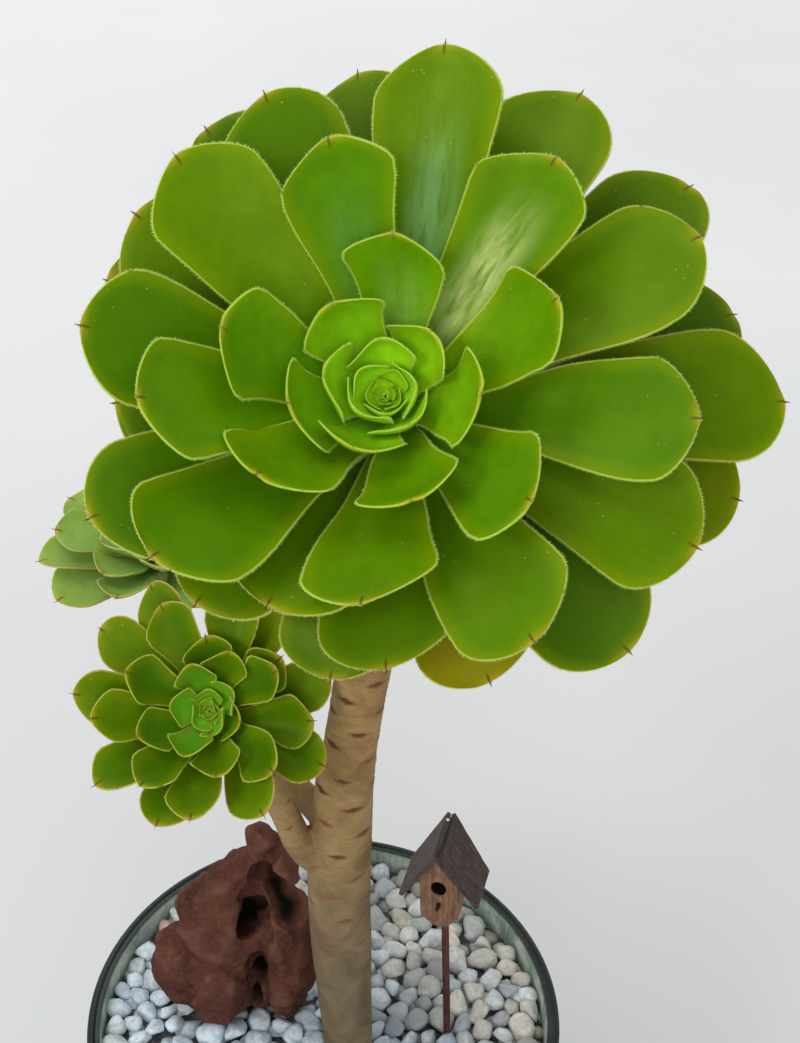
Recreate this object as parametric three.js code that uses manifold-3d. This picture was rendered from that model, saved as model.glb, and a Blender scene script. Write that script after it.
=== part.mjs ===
// A tree aeonium in a round plastic pot: a woody trunk with one large leaf rosette on top and two
// small ones on side branches, growing through white pebbles, with a lava rock and a little wooden
// birdhouse on a stick beside it.
//
// Millimetres, +Z up. The origin is the centre of the pot's underside. +X is to the right and +Y is
// away from the side that the plant leans towards.

import * as THREE from 'three';
import { mergeVertices } from 'three/addons/utils/BufferGeometryUtils.js';
import Module from 'manifold-3d';

const wasm = await Module();
wasm.setup();

// ---- Driving dimensions -------------------------------------------------------------------

const CLEARANCE = 0.3; // left between pieces that touch

const POT_HEIGHT = 190;
const POT_LIP_RADIUS = 120;
const POT_LIP_HEIGHT = 13;
const POT_LIP_OVERHANG = 4;
const POT_LIP_ROUND = 3;
const POT_BASE_RADIUS = 85;
const POT_WALL = 3;
const POT_FLOOR = 5;
const POT_FOOT_CHAMFER = 3;
const POT_SIDES = 36;
const DRAIN_HOLES = 5;
const DRAIN_HOLE_RADIUS = 5;
const DRAIN_RING_RADIUS = 52;

const SOIL_TOP = 172;
const BED_TOP = 176.5; // the level that the pebbles are half sunk in
const PEBBLE_COUNT = 101;
const PEBBLE_SIZE = 8.3; // half of a middling pebble's length

const TRUNK_SIDES = 12;
const TRUNK_STEPS = 17;
const TRUNK_BURIED_TO = 148;
const TRUNK = [ // points up the trunk's middle, each with the radius there
  { at: [13.5, -18, TRUNK_BURIED_TO], radius: 11.5 },
  { at: [12.7, -20, 190], radius: 12 },
  { at: [11, -20, 225], radius: 13.1 },
  { at: [9.2, -20, 262], radius: 14.3 },
  { at: [8, -20, 300], radius: 14.6 },
  { at: [8.4, -20, 330], radius: 14.4 },
  { at: [10.9, -20, 372], radius: 12.6 },
  { at: [12.9, -20, 389], radius: 11.6 },
  { at: [15.7, -20, 413], radius: 11.4 },
  { at: [18.5, -21, 440], radius: 12 },
  { at: [24, -21.5, 490], radius: 11.8 },
];
const BRANCH_SIDES = 8;
const BRANCH_TOP_RADIUS = 5.6;
const BRANCH_TOP_STRAIGHT = 8; // the straight length of a branch under its rosette
const FRONT_BRANCH_STEPS = 9;
const BACK_BRANCH_STEPS = 11;
const FRONT_BRANCH = [
  { at: [2, -22, 318], radius: 8 },
  { at: [-8, -27, 333], radius: 7 },
  { at: [-16, -25, 352], radius: 6.2 },
  { at: [-26, -21, 372], radius: 6 },
];
const BACK_BRANCH = [
  { at: [4, -16, 338], radius: 7.5 },
  { at: [-8, -8, 345], radius: 6.4 },
  { at: [-28, 12, 350], radius: 6 },
  { at: [-52, 42, 358], radius: 6 },
  { at: [-68, 64, 374], radius: 6 },
];

const MAIN_YOUNG = 14; // the main rosette's leaves below this number are small enough for few faces
const GOLDEN_ANGLE = 137.508; // degrees from each leaf to the next older one
const LEAF_EDGE = 0.8; // thickness at a leaf's margin
const LEAF_MIDDLE = 2.4; // thickness along its middle
const LEAF_CUP = 0.15; // how far the margins rise near the root, as a share of the half width
const CORE_SWELL = 1.35; // the core's radius as a share of its leaves' root reach
const CORE_RISE = 1.5;
const ROOT_SUNK = 3.5; // how deep a leaf's root goes into the core

// A rosette's growth: leaf 0 is the youngest, at the middle. Between the listed leaves each value
// changes evenly. reach and height place the leaf's tip from the rosette's centre, and rootReach
// and rootHeight its root. rise and droop are the angles by which the leaf leaves its chord at the
// root and at the tip. shoulder is where it is widest, and the tip's outline beyond that is
// (1 - x^blunt)^round. neck is the root's width as a share of the full width.
const MAIN_GROWTH = {
  leaf: [0, 4, 8, 12, 16, 20, 25, 30, 38, 51],
  reach: [6.6, 10.3, 18.7, 30, 49.6, 69.3, 96.4, 102, 112, 113],
  height: [20.6, 27, 31, 38, 47, 53, 41, 34, 11, -5],
  rootReach: [2, 3, 5, 7, 8, 9, 10, 10.5, 11, 11],
  rootHeight: [14, 12, 9, 6, 3, 0, -4, -8, -14, -22],
  width: [7, 13, 22, 30, 35, 38, 43, 45, 45, 43],
  rise: [-10, -5, 0, 4, 8, 10, 12, 14, 20, 24],
  droop: [-25, -15, -5, 5, 10, 12, 15, 18, 20, 25],
  shoulder: [0.6, 0.66, 0.74, 0.78, 0.8, 0.82, 0.83, 0.83, 0.84, 0.84],
  blunt: [1.3, 1.25, 1.2, 1.25, 1.4, 1.7, 2.1, 2.2, 2.2, 2.2],
  round: [0.8, 0.85, 0.85, 0.8, 0.7, 0.6, 0.52, 0.5, 0.5, 0.5],
  neck: [0.5, 0.42, 0.36, 0.3, 0.27, 0.25, 0.24, 0.24, 0.24, 0.24],
};
const SIDE_GROWTH = {
  leaf: [0, 6, 12, 18, 24, 33],
  reach: [5, 16.5, 31, 41.5, 50, 57],
  height: [12, 20, 25, 21, 15, 6],
  rootReach: [1.5, 3, 4.5, 5.5, 6, 6],
  rootHeight: [9, 6, 3, 0, -4, -11],
  width: [5, 13, 18, 21, 23, 22],
  rise: [-5, 0, 8, 12, 16, 20],
  droop: [-20, -5, 5, 10, 15, 22],
  shoulder: [0.6, 0.7, 0.76, 0.8, 0.82, 0.82],
  blunt: [1.3, 1.25, 1.3, 1.6, 2, 2.1],
  round: [0.8, 0.85, 0.8, 0.65, 0.52, 0.5],
  neck: [0.5, 0.4, 0.32, 0.3, 0.28, 0.28],
};

// Leaves that strayed from the rule as they grew: turn is in degrees about the axis, and long is
// the share of the length that the rule gives.
const MAIN_STRAYS = {
  1: { turn: 12 },
  4: { turn: 7 },
  6: { turn: 4 },
  9: { turn: 12 },
  10: { long: 1.2 },
  12: { turn: 10, long: 1.1 },
  13: { turn: -6, long: 0.9 },
  14: { turn: 15, long: 1.05 },
  15: { long: 1.1 },
  16: { turn: 13 },
  17: { turn: 8, long: 1.05 },
  18: { turn: -10, long: 0.95 },
  19: { long: 1.05 },
  20: { long: 0.95 },
  21: { turn: 7, long: 1.05 },
  22: { turn: 4 },
  26: { turn: 7, long: 1.1 },
  27: { long: 1.03 },
  28: { long: 1.05 },
  29: { turn: 7 },
  31: { turn: -4, long: 0.92 },
  32: { long: 0.95 },
  33: { long: 1.05 },
  34: { turn: 11, long: 1.12 },
  36: { turn: -11, long: 0.95 },
  37: { long: 0.95 },
  38: { turn: -5, long: 1.08 },
  40: { turn: 5, long: 0.95 },
  41: { long: 1.05 },
  42: { turn: 5, long: 0.9 },
  44: { turn: -4 },
  48: { long: 0.93 },
  49: { turn: -5, long: 0.95 },
  51: { long: 0.95 },
};

const FRONT_STRAYS = {
  6: { long: 1.15 },
  7: { turn: -15 },
  8: { long: 0.7 },
  13: { turn: 12, long: 1.12 },
  15: { turn: -8, long: 0.8 },
  16: { long: 1.1 },
  18: { turn: -11, long: 0.9 },
  20: { turn: -18, long: 1.05 },
  25: { turn: 8 },
  26: { turn: -11 },
  27: { long: 0.9 },
  28: { turn: 5, long: 1.1 },
};

const MAIN_ROSETTE = {
  centre: [28.6, -44.8, 565.4],
  axis: [-0.2, -0.69, 0.69],
  firstTurn: 192,
  youngest: 1,
  oldest: 51,
  lost: [],
  coreFoot: -26,
  // The rosette is lopsided: sideways and away from its own sideways axis, the share by which the
  // reach grows and the slope by which the tips rise.
  reachAcross: 0.094,
  reachUp: 0.134,
  liftAcross: -0.238,
  liftUp: 0.062,
  growth: MAIN_GROWTH,
  strays: MAIN_STRAYS,
  coarse: false,
};
const FRONT_ROSETTE = {
  centre: [-41.2, -31.5, 413.6],
  axis: [-0.25, -0.71, 0.66],
  firstTurn: 4,
  youngest: 3,
  oldest: 33,
  lost: [30, 32],
  coreFoot: -14,
  reachAcross: -0.05,
  reachUp: 0,
  liftAcross: -0.25,
  liftUp: -0.18,
  growth: SIDE_GROWTH,
  strays: FRONT_STRAYS,
  coarse: true,
};
const BACK_ROSETTE = {
  centre: [-79, 78, 413],
  axis: [-0.1, -0.08, 1],
  firstTurn: 138,
  youngest: 5,
  oldest: 30,
  lost: [],
  coreFoot: -14,
  reachAcross: 0,
  reachUp: 0,
  liftAcross: 0,
  liftUp: 0,
  growth: SIDE_GROWTH,
  strays: {},
  coarse: true,
};

const ROCK_SEAT = 181;
const ROCK_LUMPS = [ // tilt is in degrees, seen from the front
  { at: [-49, 13, 265], half: [31, 13, 13], tilt: 48 },
  { at: [-50, 11, 238], half: [25, 21, 32], tilt: 12 },
  { at: [-70, 9, 212], half: [20, 18, 26], tilt: -10 },
  { at: [-54, 3, 203], half: [19, 17, 28], tilt: 0 },
  { at: [-19, 7, 222], half: [13, 17, 50], tilt: 0 },
  { at: [-24, 13, 268], half: [11, 13, 28], tilt: -8 },
  { at: [-31, 14, 293], half: [9, 9, 10], tilt: 0 },
  { at: [-38, 18, 212], half: [34, 20, 40], tilt: 0 },
];
const ROCK_HOLLOWS = [
  { at: [-32, -3, 266], half: [10, 15, 19], tilt: -20 },
  { at: [-34, -9, 219], half: [6, 15, 16], tilt: 0 },
  { at: [-33, -16, 192], half: [3.5, 14, 18], tilt: 0 },
  { at: [-40, 3, 288], half: [7, 8, 6], tilt: 30 },
];
const ROCK_ROUGHNESS = 1.4;

const STICK_AT = [62.6, -6.1]; // where it enters the gravel
const STICK_DEPTH = 32; // below the level where it enters
const STICK_LEAN = -3; // degrees, with its top to the left
const STICK_RADIUS = 1.8;
const STICK_LEVEL = 182;
const HOUSE_FLOOR = 91; // up the stick from where it enters the gravel
const HOUSE_YAW = -14; // degrees, turned a little to the left
const HOUSE_WIDTH = 18;
const HOUSE_DEPTH = 23;
const HOUSE_PEAK = 46; // above the house's floor
const HOUSE_CHAMFER = 6;
const HOUSE_HOLE_RADIUS = 3.2;
const HOUSE_HOLE_HEIGHT = 25;
const HOUSE_HOLE_DEPTH = 9;
const SOCKET_DEPTH = 6;
const PERCH_HEIGHT = 15;
const PERCH_RADIUS = 1;
const PERCH_LENGTH = 4;
const ROOF_SLOPE = 60; // degrees
const ROOF_RIDGE_LENGTH = 32;
const ROOF_EAVES_LENGTH = 24;
const ROOF_BOARD_WIDTH = 35;
const ROOF_BOARD_THICKNESS = 2;

// ---- Finishes -----------------------------------------------------------------------------

const finish = (color, roughness) => new THREE.MeshStandardMaterial({ color, roughness, metalness: 0 });

// ---- Solids -------------------------------------------------------------------------------

// Turns a closed geometry into a solid whose faces point out.
function solidFrom(geometry) {
  const bare = new THREE.BufferGeometry();
  bare.setAttribute('position', geometry.attributes.position);
  if (geometry.index) {
    bare.setIndex(geometry.index);
  }
  const merged = mergeVertices(bare, 1e-4);
  const points = merged.attributes.position;
  const corners = [new THREE.Vector3(), new THREE.Vector3(), new THREE.Vector3()];
  const triangles = [];
  let volume = 0;
  for (let i = 0; i < merged.index.count; i += 3) {
    const ids = [0, 1, 2].map((k) => merged.index.getX(i + k));
    if (ids[0] === ids[1] || ids[1] === ids[2] || ids[2] === ids[0]) {
      continue;
    }
    ids.forEach((id, k) => corners[k].fromBufferAttribute(points, id));
    volume += corners[0].dot(corners[1].clone().cross(corners[2])) / 6;
    triangles.push(ids);
  }
  const outward = volume > 0 ? triangles : triangles.map(([a, b, c]) => [a, c, b]);
  return new wasm.Manifold(new wasm.Mesh({
    numProp: 3,
    vertProperties: new Float32Array(points.array),
    triVerts: new Uint32Array(outward.flat()),
  }));
}

function geometryFrom(solid) {
  const mesh = solid.getMesh();
  const geometry = new THREE.BufferGeometry();
  geometry.setAttribute('position', new THREE.BufferAttribute(new Float32Array(mesh.vertProperties), 3));
  geometry.setIndex(new THREE.BufferAttribute(new Uint32Array(mesh.triVerts), 1));
  geometry.computeVertexNormals();
  return geometry;
}

function piece(name, solid, material) {
  const mesh = new THREE.Mesh(geometryFrom(solid), material);
  mesh.name = name;
  return mesh;
}

// Joins solids in pairs, then drops the loose scraps and fills the hollows that the joins sealed.
function fuse(solids) {
  let row = solids;
  while (row.length > 1) {
    const next = [];
    for (let i = 0; i < row.length; i += 2) {
      next.push(i + 1 < row.length ? row[i].add(row[i + 1]) : row[i]);
    }
    row = next;
  }
  const bodies = row[0].decompose();
  return bodies.reduce((largest, body) => (body.volume() > largest.volume() ? body : largest));
}

// A closed skin over rings of equally many points, with a flat fan over the first ring and either
// another over the last ring or a point beyond it.
function skin(rings, tip) {
  const sides = rings[0].length;
  const positions = rings.flat().flatMap((p) => [p.x, p.y, p.z]);
  const faces = [];
  for (let k = 0; k + 1 < rings.length; k += 1) {
    for (let j = 0; j < sides; j += 1) {
      const a = k * sides + j;
      const b = k * sides + (j + 1) % sides;
      const mirrored = sides === 6 && (j === 1 || j === 4);
      const split = mirrored
        ? [a, b, a + sides, b, b + sides, a + sides]
        : [a, b, b + sides, a, b + sides, a + sides];
      faces.push(...split);
    }
  }
  const last = (rings.length - 1) * sides;
  for (let j = 1; j + 1 < sides; j += 1) {
    faces.push(0, j + 1, j);
  }
  if (tip) {
    const tipId = positions.length / 3;
    positions.push(tip.x, tip.y, tip.z);
    for (let j = 0; j < sides; j += 1) {
      faces.push(last + j, last + (j + 1) % sides, tipId);
    }
  } else {
    for (let j = 1; j + 1 < sides; j += 1) {
      faces.push(last, last + j, last + j + 1);
    }
  }
  const geometry = new THREE.BufferGeometry();
  geometry.setAttribute('position', new THREE.Float32BufferAttribute(positions, 3));
  geometry.setIndex(faces);
  return solidFrom(geometry);
}

// A round limb along a smooth curve through the stations, its radius changing evenly between them.
function limb(stations, sides, steps, extra = 0) {
  const spots = stations.map((station) => new THREE.Vector3(...station.at));
  const curve = new THREE.CatmullRomCurve3(spots, false, 'centripetal');
  const frames = curve.computeFrenetFrames(steps, false);
  const rings = [];
  for (let k = 0; k <= steps; k += 1) {
    const along = curve.getUtoTmapping(k / steps) * (stations.length - 1);
    const i = Math.min(Math.floor(along), stations.length - 2);
    const radius = extra + THREE.MathUtils.lerp(stations[i].radius, stations[i + 1].radius, along - i);
    const middle = curve.getPointAt(k / steps);
    const ring = [];
    for (let j = 0; j < sides; j += 1) {
      const angle = (j / sides) * 2 * Math.PI;
      const point = middle.clone();
      point.addScaledVector(frames.normals[k], radius * Math.cos(angle));
      point.addScaledVector(frames.binormals[k], radius * Math.sin(angle));
      ring.push(point);
    }
    rings.push(ring);
  }
  return skin(rings);
}

function turned(profile, sides = POT_SIDES) {
  const lathe = new THREE.LatheGeometry(profile.map(([r, z]) => new THREE.Vector2(r, z)), sides);
  lathe.rotateX(Math.PI / 2);
  return solidFrom(lathe);
}

function rod(radius, length, sides = 12) {
  const cylinder = new THREE.CylinderGeometry(radius, radius, length, sides);
  cylinder.rotateX(Math.PI / 2);
  return solidFrom(cylinder);
}

// A repeatable stream of numbers from 0 to 1.
function seededDraw(seed) {
  let state = seed;
  return () => {
    state = (state + 0x6d2b79f5) | 0;
    let mixed = Math.imul(state ^ (state >>> 15), 1 | state);
    mixed = (mixed + Math.imul(mixed ^ (mixed >>> 7), 61 | mixed)) ^ mixed;
    return ((mixed ^ (mixed >>> 14)) >>> 0) / 4294967296;
  };
}

// ---- Pot, soil and gravel -----------------------------------------------------------------

const wallTop = POT_HEIGHT - POT_LIP_HEIGHT;
const wallTopRadius = POT_LIP_RADIUS - POT_LIP_OVERHANG;

// The inner wall's radius at a height above the pot's underside.
function insideRadius(z) {
  const share = (z - POT_FOOT_CHAMFER) / (wallTop - POT_FOOT_CHAMFER);
  return THREE.MathUtils.lerp(POT_BASE_RADIUS, wallTopRadius, Math.min(share, 1)) - POT_WALL;
}

function potSolid() {
  const lipInside = wallTopRadius - POT_WALL;
  const body = turned([
    [0, 0],
    [POT_BASE_RADIUS - POT_FOOT_CHAMFER, 0],
    [POT_BASE_RADIUS, POT_FOOT_CHAMFER],
    [wallTopRadius, wallTop],
    [POT_LIP_RADIUS, wallTop],
    [POT_LIP_RADIUS, POT_HEIGHT - POT_LIP_ROUND],
    [POT_LIP_RADIUS - POT_LIP_ROUND, POT_HEIGHT],
    [lipInside, POT_HEIGHT - POT_LIP_ROUND],
    [insideRadius(wallTop), wallTop],
    [insideRadius(POT_FLOOR), POT_FLOOR],
    [0, POT_FLOOR],
  ]);
  const holes = [];
  for (let k = 0; k < DRAIN_HOLES; k += 1) {
    const angle = (k / DRAIN_HOLES) * 2 * Math.PI;
    const x = DRAIN_RING_RADIUS * Math.cos(angle);
    const y = DRAIN_RING_RADIUS * Math.sin(angle);
    holes.push(rod(DRAIN_HOLE_RADIUS, 4 * POT_FLOOR).translate([x, y, 0]));
  }
  return holes.reduce((pot, hole) => pot.subtract(hole), body);
}

function fillSolid(bottom, top) {
  return turned([
    [0, bottom],
    [insideRadius(bottom) - CLEARANCE, bottom],
    [insideRadius(top) - CLEARANCE, top],
    [0, top],
  ]);
}

// Puts a solid made about the upright stick's axis, from the level of the gravel, in its place.
function onStick(solid) {
  return solid.rotate([0, STICK_LEAN, 0]).translate([STICK_AT[0], STICK_AT[1], STICK_LEVEL]);
}

function stickSolid(extra = 0) {
  const top = HOUSE_FLOOR + SOCKET_DEPTH - CLEARANCE;
  const length = top + STICK_DEPTH + 2 * extra;
  return onStick(rod(STICK_RADIUS + extra, length, 10).translate([0, 0, (top - STICK_DEPTH) / 2]));
}

function trunkSolid(extra = 0) {
  const last = TRUNK.length - 1;
  const stations = TRUNK.map((s) => ({ ...s, at: [...s.at] }));
  if (extra > 0) {
    stations[0].at[2] -= extra;
    stations.splice(last - 3);
  } else {
    stations.push(...trunkTop());
  }
  return limb(stations, TRUNK_SIDES, TRUNK_STEPS, extra);
}

function soilSolid() {
  const soil = fillSolid(POT_FLOOR + CLEARANCE, SOIL_TOP);
  return soil.subtract(trunkSolid(CLEARANCE)).subtract(stickSolid(CLEARANCE));
}

// A chunk of stone half sunk in the bed: an uneven ring low down and a smaller one on top.
function pebbleSolid(draw, x, y) {
  const corners = 5;
  const size = PEBBLE_SIZE * (0.95 + 0.25 * draw());
  const narrow = 0.75 + 0.25 * draw();
  const turn = 2 * Math.PI * draw();
  const top = BED_TOP + 4 + 2.5 * draw();
  const lean = [draw() - 0.5, draw() - 0.5];
  const ring = (z, share) => {
    const points = [];
    for (let j = 0; j < corners; j += 1) {
      const angle = ((j + 0.5 * draw()) / corners) * 2 * Math.PI;
      const along = share * size * Math.cos(angle);
      const across = share * size * narrow * Math.sin(angle);
      const px = x + along * Math.cos(turn) - across * Math.sin(turn);
      const py = y + along * Math.sin(turn) + across * Math.cos(turn);
      const tilt = share < 1 ? 0.25 * (lean[0] * (px - x) + lean[1] * (py - y)) : 0;
      points.push(new THREE.Vector3(px, py, z + tilt));
    }
    return points;
  };
  return skin([ring(BED_TOP - 2, 1), ring(top, 0.6)]);
}

function gravelSolid() {
  const draw = seededDraw(7);
  const bottom = SOIL_TOP + CLEARANCE;
  const bed = fillSolid(bottom, BED_TOP);
  const pebbles = [];
  for (let k = 0; k < PEBBLE_COUNT; k += 1) {
    const far = (insideRadius(BED_TOP) - PEBBLE_SIZE * 0.7) * Math.sqrt((k + 0.5) / PEBBLE_COUNT);
    const angle = THREE.MathUtils.degToRad(GOLDEN_ANGLE * k) + 0.08 * draw();
    pebbles.push(pebbleSolid(draw, far * Math.cos(angle), far * Math.sin(angle)));
  }
  const inside = fillSolid(bottom, POT_HEIGHT - POT_LIP_ROUND);
  const gravel = fuse([bed, ...pebbles]).intersect(inside);
  const cleared = gravel.subtract(trunkSolid(CLEARANCE)).subtract(stickSolid(CLEARANCE));
  return fuse([cleared.subtract(rockSolid(CLEARANCE))]);
}

// ---- Lava rock ----------------------------------------------------------------------------

// A lump or a hollow of the rock: a ball stretched, roughened and tilted.
function lumpSolid(lump, detail, extra = 0) {
  const ball = new THREE.IcosahedronGeometry(1, detail);
  const points = ball.attributes.position;
  ball.scale(...lump.half.map((half) => half + extra));
  ball.rotateY(THREE.MathUtils.degToRad(-lump.tilt));
  ball.translate(...lump.at);
  const p = new THREE.Vector3();
  for (let i = 0; i < points.count; i += 1) {
    p.fromBufferAttribute(points, i);
    points.setXYZ(
      i,
      p.x + ROCK_ROUGHNESS * Math.sin(0.31 * p.y + 0.23 * p.z),
      p.y + ROCK_ROUGHNESS * Math.sin(0.37 * p.z + 0.19 * p.x),
      p.z + ROCK_ROUGHNESS * Math.sin(0.29 * p.x + 0.41 * p.y),
    );
  }
  return solidFrom(ball);
}

function rockSolid(extra = 0) {
  const floor = new THREE.BoxGeometry(300, 300, 100);
  floor.translate(0, 0, ROCK_SEAT - extra - 50);
  const mass = fuse(ROCK_LUMPS.map((lump) => lumpSolid(lump, 1, extra))).subtract(solidFrom(floor));
  if (extra > 0) {
    return mass;
  }
  return fuse([ROCK_HOLLOWS.reduce((rock, hollow) => rock.subtract(lumpSolid(hollow, 1)), mass)]);
}

// ---- Rosettes -----------------------------------------------------------------------------

// A value of the growth table at a leaf, between its listed leaves.
function grown(growth, name, leaf) {
  const marks = growth.leaf;
  const values = growth[name];
  const k = Math.max(marks.findIndex((mark) => mark >= leaf), 1);
  const share = (leaf - marks[k - 1]) / (marks[k] - marks[k - 1]);
  return THREE.MathUtils.lerp(values[k - 1], values[k], THREE.MathUtils.clamp(share, 0, 1));
}

// The rosette's own directions: up its axis, across to the right, and away from both.
function rosetteFrame(rosette) {
  const up = new THREE.Vector3(...rosette.axis).normalize();
  const across = new THREE.Vector3(1, 0, 0);
  across.addScaledVector(up, -across.dot(up)).normalize();
  const away = new THREE.Vector3().crossVectors(up, across);
  return { centre: new THREE.Vector3(...rosette.centre), up, across, away };
}

// A point at a reach from the axis and a height along it, on the bearing given in radians.
function onBearing(frame, bearing, reach, height) {
  const point = frame.centre.clone().addScaledVector(frame.up, height);
  point.addScaledVector(frame.across, reach * Math.cos(bearing));
  return point.addScaledVector(frame.away, reach * Math.sin(bearing));
}

// One leaf: a spoon-shaped blade on a curved midrib, in rings of six points.
function leafSolid(rosette, frame, number) {
  const value = (name) => grown(rosette.growth, name, number);
  const stray = { turn: 0, long: 1, ...rosette.strays[number] };
  const bearing = THREE.MathUtils.degToRad(rosette.firstTurn - GOLDEN_ANGLE * number + stray.turn);
  const cos = Math.cos(bearing);
  const sin = Math.sin(bearing);
  const root = new THREE.Vector2(value('rootReach'), value('rootHeight'));
  const chord = new THREE.Vector2(
    value('reach') * (1 + rosette.reachAcross * cos + rosette.reachUp * sin),
    value('height') + value('reach') * (rosette.liftAcross * cos + rosette.liftUp * sin),
  ).sub(root).multiplyScalar(stray.long);
  const length = chord.length();
  const slope = Math.atan2(chord.y, chord.x);
  const start = slope + THREE.MathUtils.degToRad(value('rise'));
  const end = slope - THREE.MathUtils.degToRad(value('droop'));
  const startWay = new THREE.Vector2(Math.cos(start), Math.sin(start));
  const endWay = new THREE.Vector2(Math.cos(end), Math.sin(end));
  const tip = root.clone().add(chord);
  const midrib = new THREE.CubicBezierCurve(
    root,
    root.clone().addScaledVector(startWay, 0.36 * length),
    tip.clone().addScaledVector(endWay, -0.34 * length),
    tip,
  );
  const shoulder = value('shoulder');
  const neck = value('neck');
  const swelling = 1.35 + 0.5 * Math.min(number / 25, 1);
  const halfWidth = (t) => {
    if (t < shoulder) {
      const grow = Math.sin((t / shoulder) * (Math.PI / 2)) ** swelling;
      return 0.5 * value('width') * (neck + (1 - neck) * grow);
    }
    const beyond = (t - shoulder) / (1 - shoulder);
    return 0.5 * value('width') * (1 - beyond ** value('blunt')) ** value('round');
  };
  const side = frame.across.clone().multiplyScalar(-sin).addScaledVector(frame.away, cos);
  const out = frame.across.clone().multiplyScalar(cos).addScaledVector(frame.away, sin);
  const ringAt = (t, sunk = 0) => {
    const spot = midrib.getPoint(t);
    const way = t === 0 ? startWay : midrib.getTangent(t);
    spot.addScaledVector(way, -sunk);
    const face = out.clone().multiplyScalar(-way.y).addScaledVector(frame.up, way.x);
    const middle = onBearing(frame, bearing, spot.x, spot.y);
    const half = halfWidth(t);
    const cupped = LEAF_CUP * (1 - t) * half;
    const thick = 0.5 * THREE.MathUtils.lerp(LEAF_MIDDLE, LEAF_EDGE, 0.4 * t);
    const point = (across, lift) => middle.clone().addScaledVector(side, across).addScaledVector(face, lift);
    return [
      point(-half, cupped + LEAF_EDGE / 2),
      point(0, thick),
      point(half, cupped + LEAF_EDGE / 2),
      point(half, cupped - LEAF_EDGE / 2),
      point(0, -thick),
      point(-half, cupped - LEAF_EDGE / 2),
    ];
  };
  const small = rosette.coarse || number < MAIN_YOUNG;
  const toShoulder = small ? [0.45] : [0.33, 0.64];
  const past = small ? [0.7] : [0.5, 0.87];
  const stops = [...toShoulder, shoulder, ...past.map((x) => shoulder + x * (1 - shoulder))];
  const rings = [ringAt(0, ROOT_SUNK), ...stops.map((t) => ringAt(t))];
  return skin(rings, onBearing(frame, bearing, tip.x, tip.y));
}

function rosetteSolid(rosette) {
  const frame = rosetteFrame(rosette);
  const reachOf = (leaf) => grown(rosette.growth, 'rootReach', leaf);
  const heightOf = (leaf) => grown(rosette.growth, 'rootHeight', leaf);
  const oldest = rosette.oldest;
  const levels = [
    [reachOf(oldest), rosette.coreFoot],
    ...[1, 0.75, 0.5, 0.25, 0].map((share) => [
      CORE_SWELL * reachOf(share * oldest),
      heightOf(share * oldest) + CORE_RISE,
    ]),
  ];
  const sides = 12;
  const rings = levels.map(([reach, height]) => {
    const ring = [];
    for (let j = 0; j < sides; j += 1) {
      ring.push(onBearing(frame, (j / sides) * 2 * Math.PI, reach, height));
    }
    return ring;
  });
  const core = skin(rings, onBearing(frame, 0, 0, heightOf(0) + CORE_RISE + reachOf(0)));
  const leaves = [];
  for (let number = rosette.youngest; number <= oldest; number += 1) {
    if (!rosette.lost.includes(number)) {
      leaves.push(leafSolid(rosette, frame, number));
    }
  }
  return fuse([core, ...leaves]);
}

// ---- Trunk and branches -------------------------------------------------------------------

// The last stations of a limb, which bring it onto a rosette's axis just under its core.
function underRosette(rosette, radius, lead) {
  const frame = rosetteFrame(rosette);
  const foot = rosette.coreFoot - CLEARANCE;
  return [foot - lead, foot].map((height) => ({
    at: onBearing(frame, 0, 0, height).toArray(),
    radius,
  }));
}

function trunkTop() {
  return underRosette(MAIN_ROSETTE, 11.2, 14);
}

function stemSolid() {
  const frontTop = underRosette(FRONT_ROSETTE, BRANCH_TOP_RADIUS, BRANCH_TOP_STRAIGHT);
  const backTop = underRosette(BACK_ROSETTE, BRANCH_TOP_RADIUS, BRANCH_TOP_STRAIGHT);
  const front = limb([...FRONT_BRANCH, ...frontTop], BRANCH_SIDES, FRONT_BRANCH_STEPS);
  const back = limb([...BACK_BRANCH, ...backTop], BRANCH_SIDES, BACK_BRANCH_STEPS);
  return fuse([trunkSolid(), front, back]);
}

// ---- Birdhouse ----------------------------------------------------------------------------

// Puts a solid made about the house's own upright axis, from its floor, in its place.
function atHouse(solid) {
  return onStick(solid.rotate([0, 0, HOUSE_YAW]).translate([0, 0, HOUSE_FLOOR]));
}

const roofSlope = THREE.MathUtils.degToRad(ROOF_SLOPE);

function houseSolid() {
  const half = HOUSE_WIDTH / 2;
  const eaves = HOUSE_PEAK - half * Math.tan(roofSlope);
  const outline = new THREE.Shape([
    new THREE.Vector2(-half + HOUSE_CHAMFER, 0),
    new THREE.Vector2(half - HOUSE_CHAMFER, 0),
    new THREE.Vector2(half, HOUSE_CHAMFER),
    new THREE.Vector2(half, eaves),
    new THREE.Vector2(0, HOUSE_PEAK),
    new THREE.Vector2(-half, eaves),
    new THREE.Vector2(-half, HOUSE_CHAMFER),
  ]);
  const block = new THREE.ExtrudeGeometry(outline, { depth: HOUSE_DEPTH, bevelEnabled: false });
  block.rotateX(Math.PI / 2);
  block.translate(0, HOUSE_DEPTH / 2, 0);
  const front = -HOUSE_DEPTH / 2;
  const door = rod(HOUSE_HOLE_RADIUS, 2 * HOUSE_HOLE_DEPTH, 16).rotate([90, 0, 0]);
  const perchHole = rod(PERCH_RADIUS + CLEARANCE, 2 * PERCH_LENGTH, 10).rotate([90, 0, 0]);
  const socket = rod(STICK_RADIUS + CLEARANCE, 2 * SOCKET_DEPTH, 10);
  const house = solidFrom(block)
    .subtract(door.translate([0, front, HOUSE_HOLE_HEIGHT]))
    .subtract(perchHole.translate([0, front, PERCH_HEIGHT]))
    .subtract(socket);
  return atHouse(house);
}

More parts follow.
